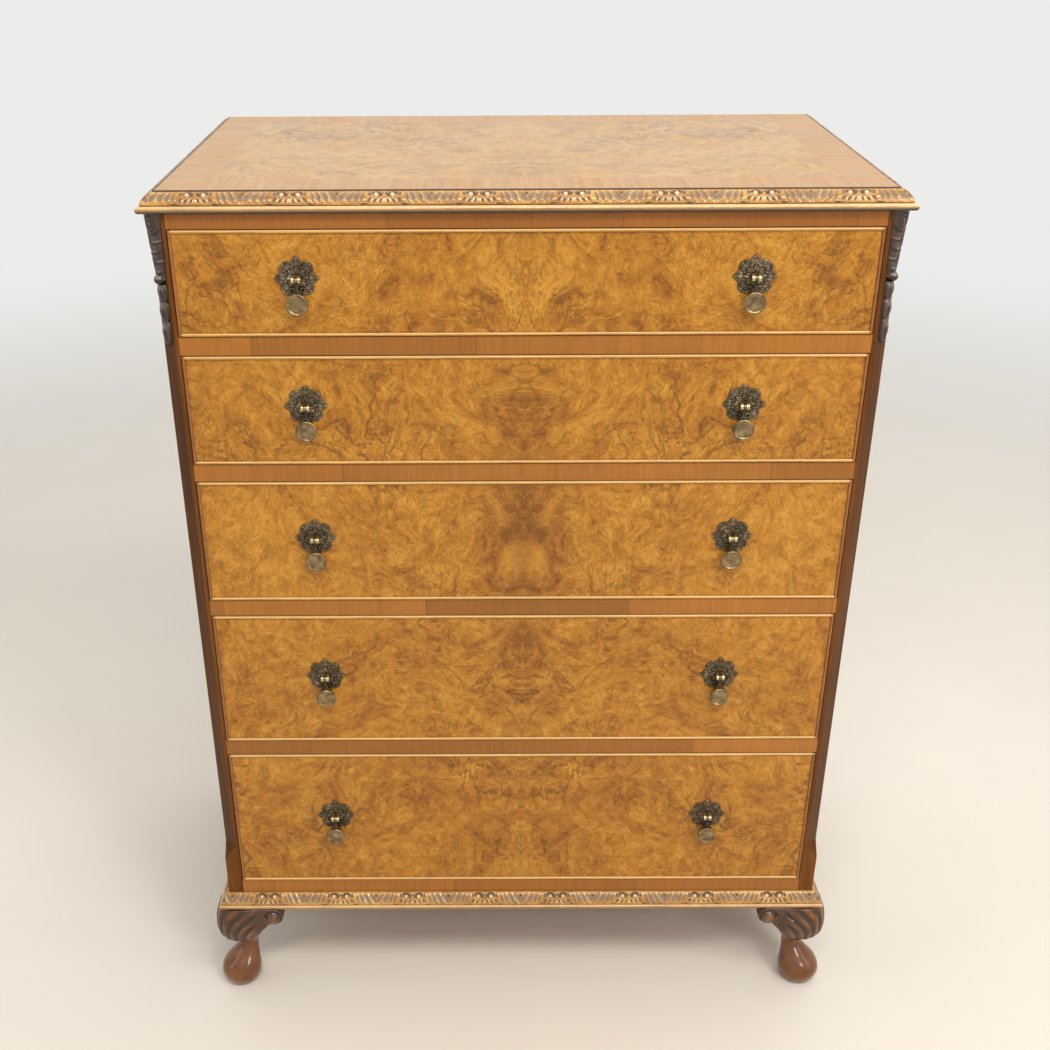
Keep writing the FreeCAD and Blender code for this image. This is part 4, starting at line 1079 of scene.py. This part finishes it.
studio = {
    "floorColour": (0.80, 0.745, 0.655),
    "backdrop": (0.84, 0.84, 0.83),
    "fade": (1.3, 3.8),     # where the floor runs out into the backdrop
    "world": [(0.0, 0.26), (0.42, 0.30), (0.62, 0.70), (1.0, 0.76)],
    "lamps": [
        ("keyLamp", (0.55, -1.9, 3.2), (3.2, 0.5), 71.0, (1.0, 0.96, 0.90)),
        ("fillLamp", (1.5, -2.5, 2.1), (0.8, 0.8), 22.0, (0.98, 0.98, 1.0)),
        ("topLamp", (0.2, 0.5, 3.2), (2.2, 2.2), 22.0, (1.0, 0.99, 0.97)),
        ("leftStrip", (-2.3, -1.0, 1.7), (0.35, 2.0), 6.0, (1.0, 1.0, 1.0)),
        ("rightStrip", (2.3, -1.0, 1.7), (0.35, 2.0), 6.0, (1.0, 1.0, 1.0)),
    ],
    "target": (0.0, 0.0, 0.55),
    "cameraPlace": (-0.0351, -1.5169, 1.3048),
    "cameraTurn": (62.1028, 0.2742, 0.0371),
    "lens": 45.4,
    "shift": (0.0351, 0.0427),
}


def seenRay(tree):
    # 1 where the camera or a reflection looks at the floor or the backdrop
    rays = addNode(tree, "ShaderNodeLightPath").outputs
    seen = calc("MAXIMUM", rays["Is Camera Ray"], rays["Is Glossy Ray"])
    return calc("MAXIMUM", seen, rays["Is Transmission Ray"])


floorMaterial, floorTree, floorShader = newMaterial("paleFloor", {"roughness": 0.75})
floorPlace = objectPlace(floorTree)
floorNoise = noise(floorPlace, 3.0, 4.0)
floorTint = tuple(v * 1.03 for v in studio["floorColour"])
floorTree.links.new(ramp(floorNoise, [(0.3, studio["floorColour"]), (0.7, floorTint)]),
                    floorShader.inputs["Base Color"])
away = vectorCalc("LENGTH", {0: floorPlace})["Value"]
fadeStart, fadeEnd = studio["fade"]
far = addNode(floorTree, "ShaderNodeMapRange", {"Value": away, "From Min": fadeStart, "From Max": fadeEnd},
              interpolation_type="SMOOTHSTEP")
faded = calc("MULTIPLY", far.outputs["Result"], seenRay(floorTree))
haze = addNode(floorTree, "ShaderNodeEmission", {"Color": (*studio["backdrop"], 1), "Strength": 1.0})
floorMix = addNode(floorTree, "ShaderNodeMixShader", {0: faded, 1: floorShader.outputs["BSDF"],
                                                      2: haze.outputs["Emission"]})
floorTree.links.new(floorMix.outputs["Shader"], floorTree.nodes["Material Output"].inputs["Surface"])
bpy.ops.mesh.primitive_plane_add(size=30, location=(0, 0, 0))
floorPlane = bpy.context.object
floorPlane.name = "paleFloor"
floorPlane.data.materials.append(floorMaterial)

world = bpy.data.worlds.new("studioWorld")
bpy.context.scene.world = world
world.use_nodes = True
worldTree = world.node_tree
background = worldTree.nodes["Background"]
facing = splitAxes(addNode(worldTree, "ShaderNodeTexCoord").outputs["Generated"])[1]
glow = ramp(calc("MULTIPLY_ADD", facing, 0.5, 0.5), studio["world"])    # paler behind
seen = blendColours(seenRay(worldTree), glow, studio["backdrop"])
worldTree.links.new(seen, background.inputs["Color"])

for lampName, spot, (width, depth), power, colour in studio["lamps"]:
    data = bpy.data.lights.new(lampName, "AREA")
    data.shape = "DISK" if width == depth else "RECTANGLE"
    data.size, data.size_y = width, depth
    data.energy = power
    data.color = colour
    lamp = bpy.data.objects.new(lampName, data)
    lamp.location = spot
    lamp.rotation_euler = (Vector(studio["target"]) - Vector(spot)).to_track_quat("-Z", "Y").to_euler()
    bpy.context.scene.collection.objects.link(lamp)

cameraData = bpy.data.cameras.new("photoCamera")
cameraData.lens = studio["lens"]
cameraData.shift_x, cameraData.shift_y = studio["shift"]
cameraData.clip_start = 0.02
camera = bpy.data.objects.new("photoCamera", cameraData)
camera.location = studio["cameraPlace"]
camera.rotation_euler = [math.radians(angle) for angle in studio["cameraTurn"]]
bpy.context.scene.collection.objects.link(camera)
bpy.context.scene.camera = camera
bpy.context.scene.view_settings.view_transform = "Standard"

print("scene ready")
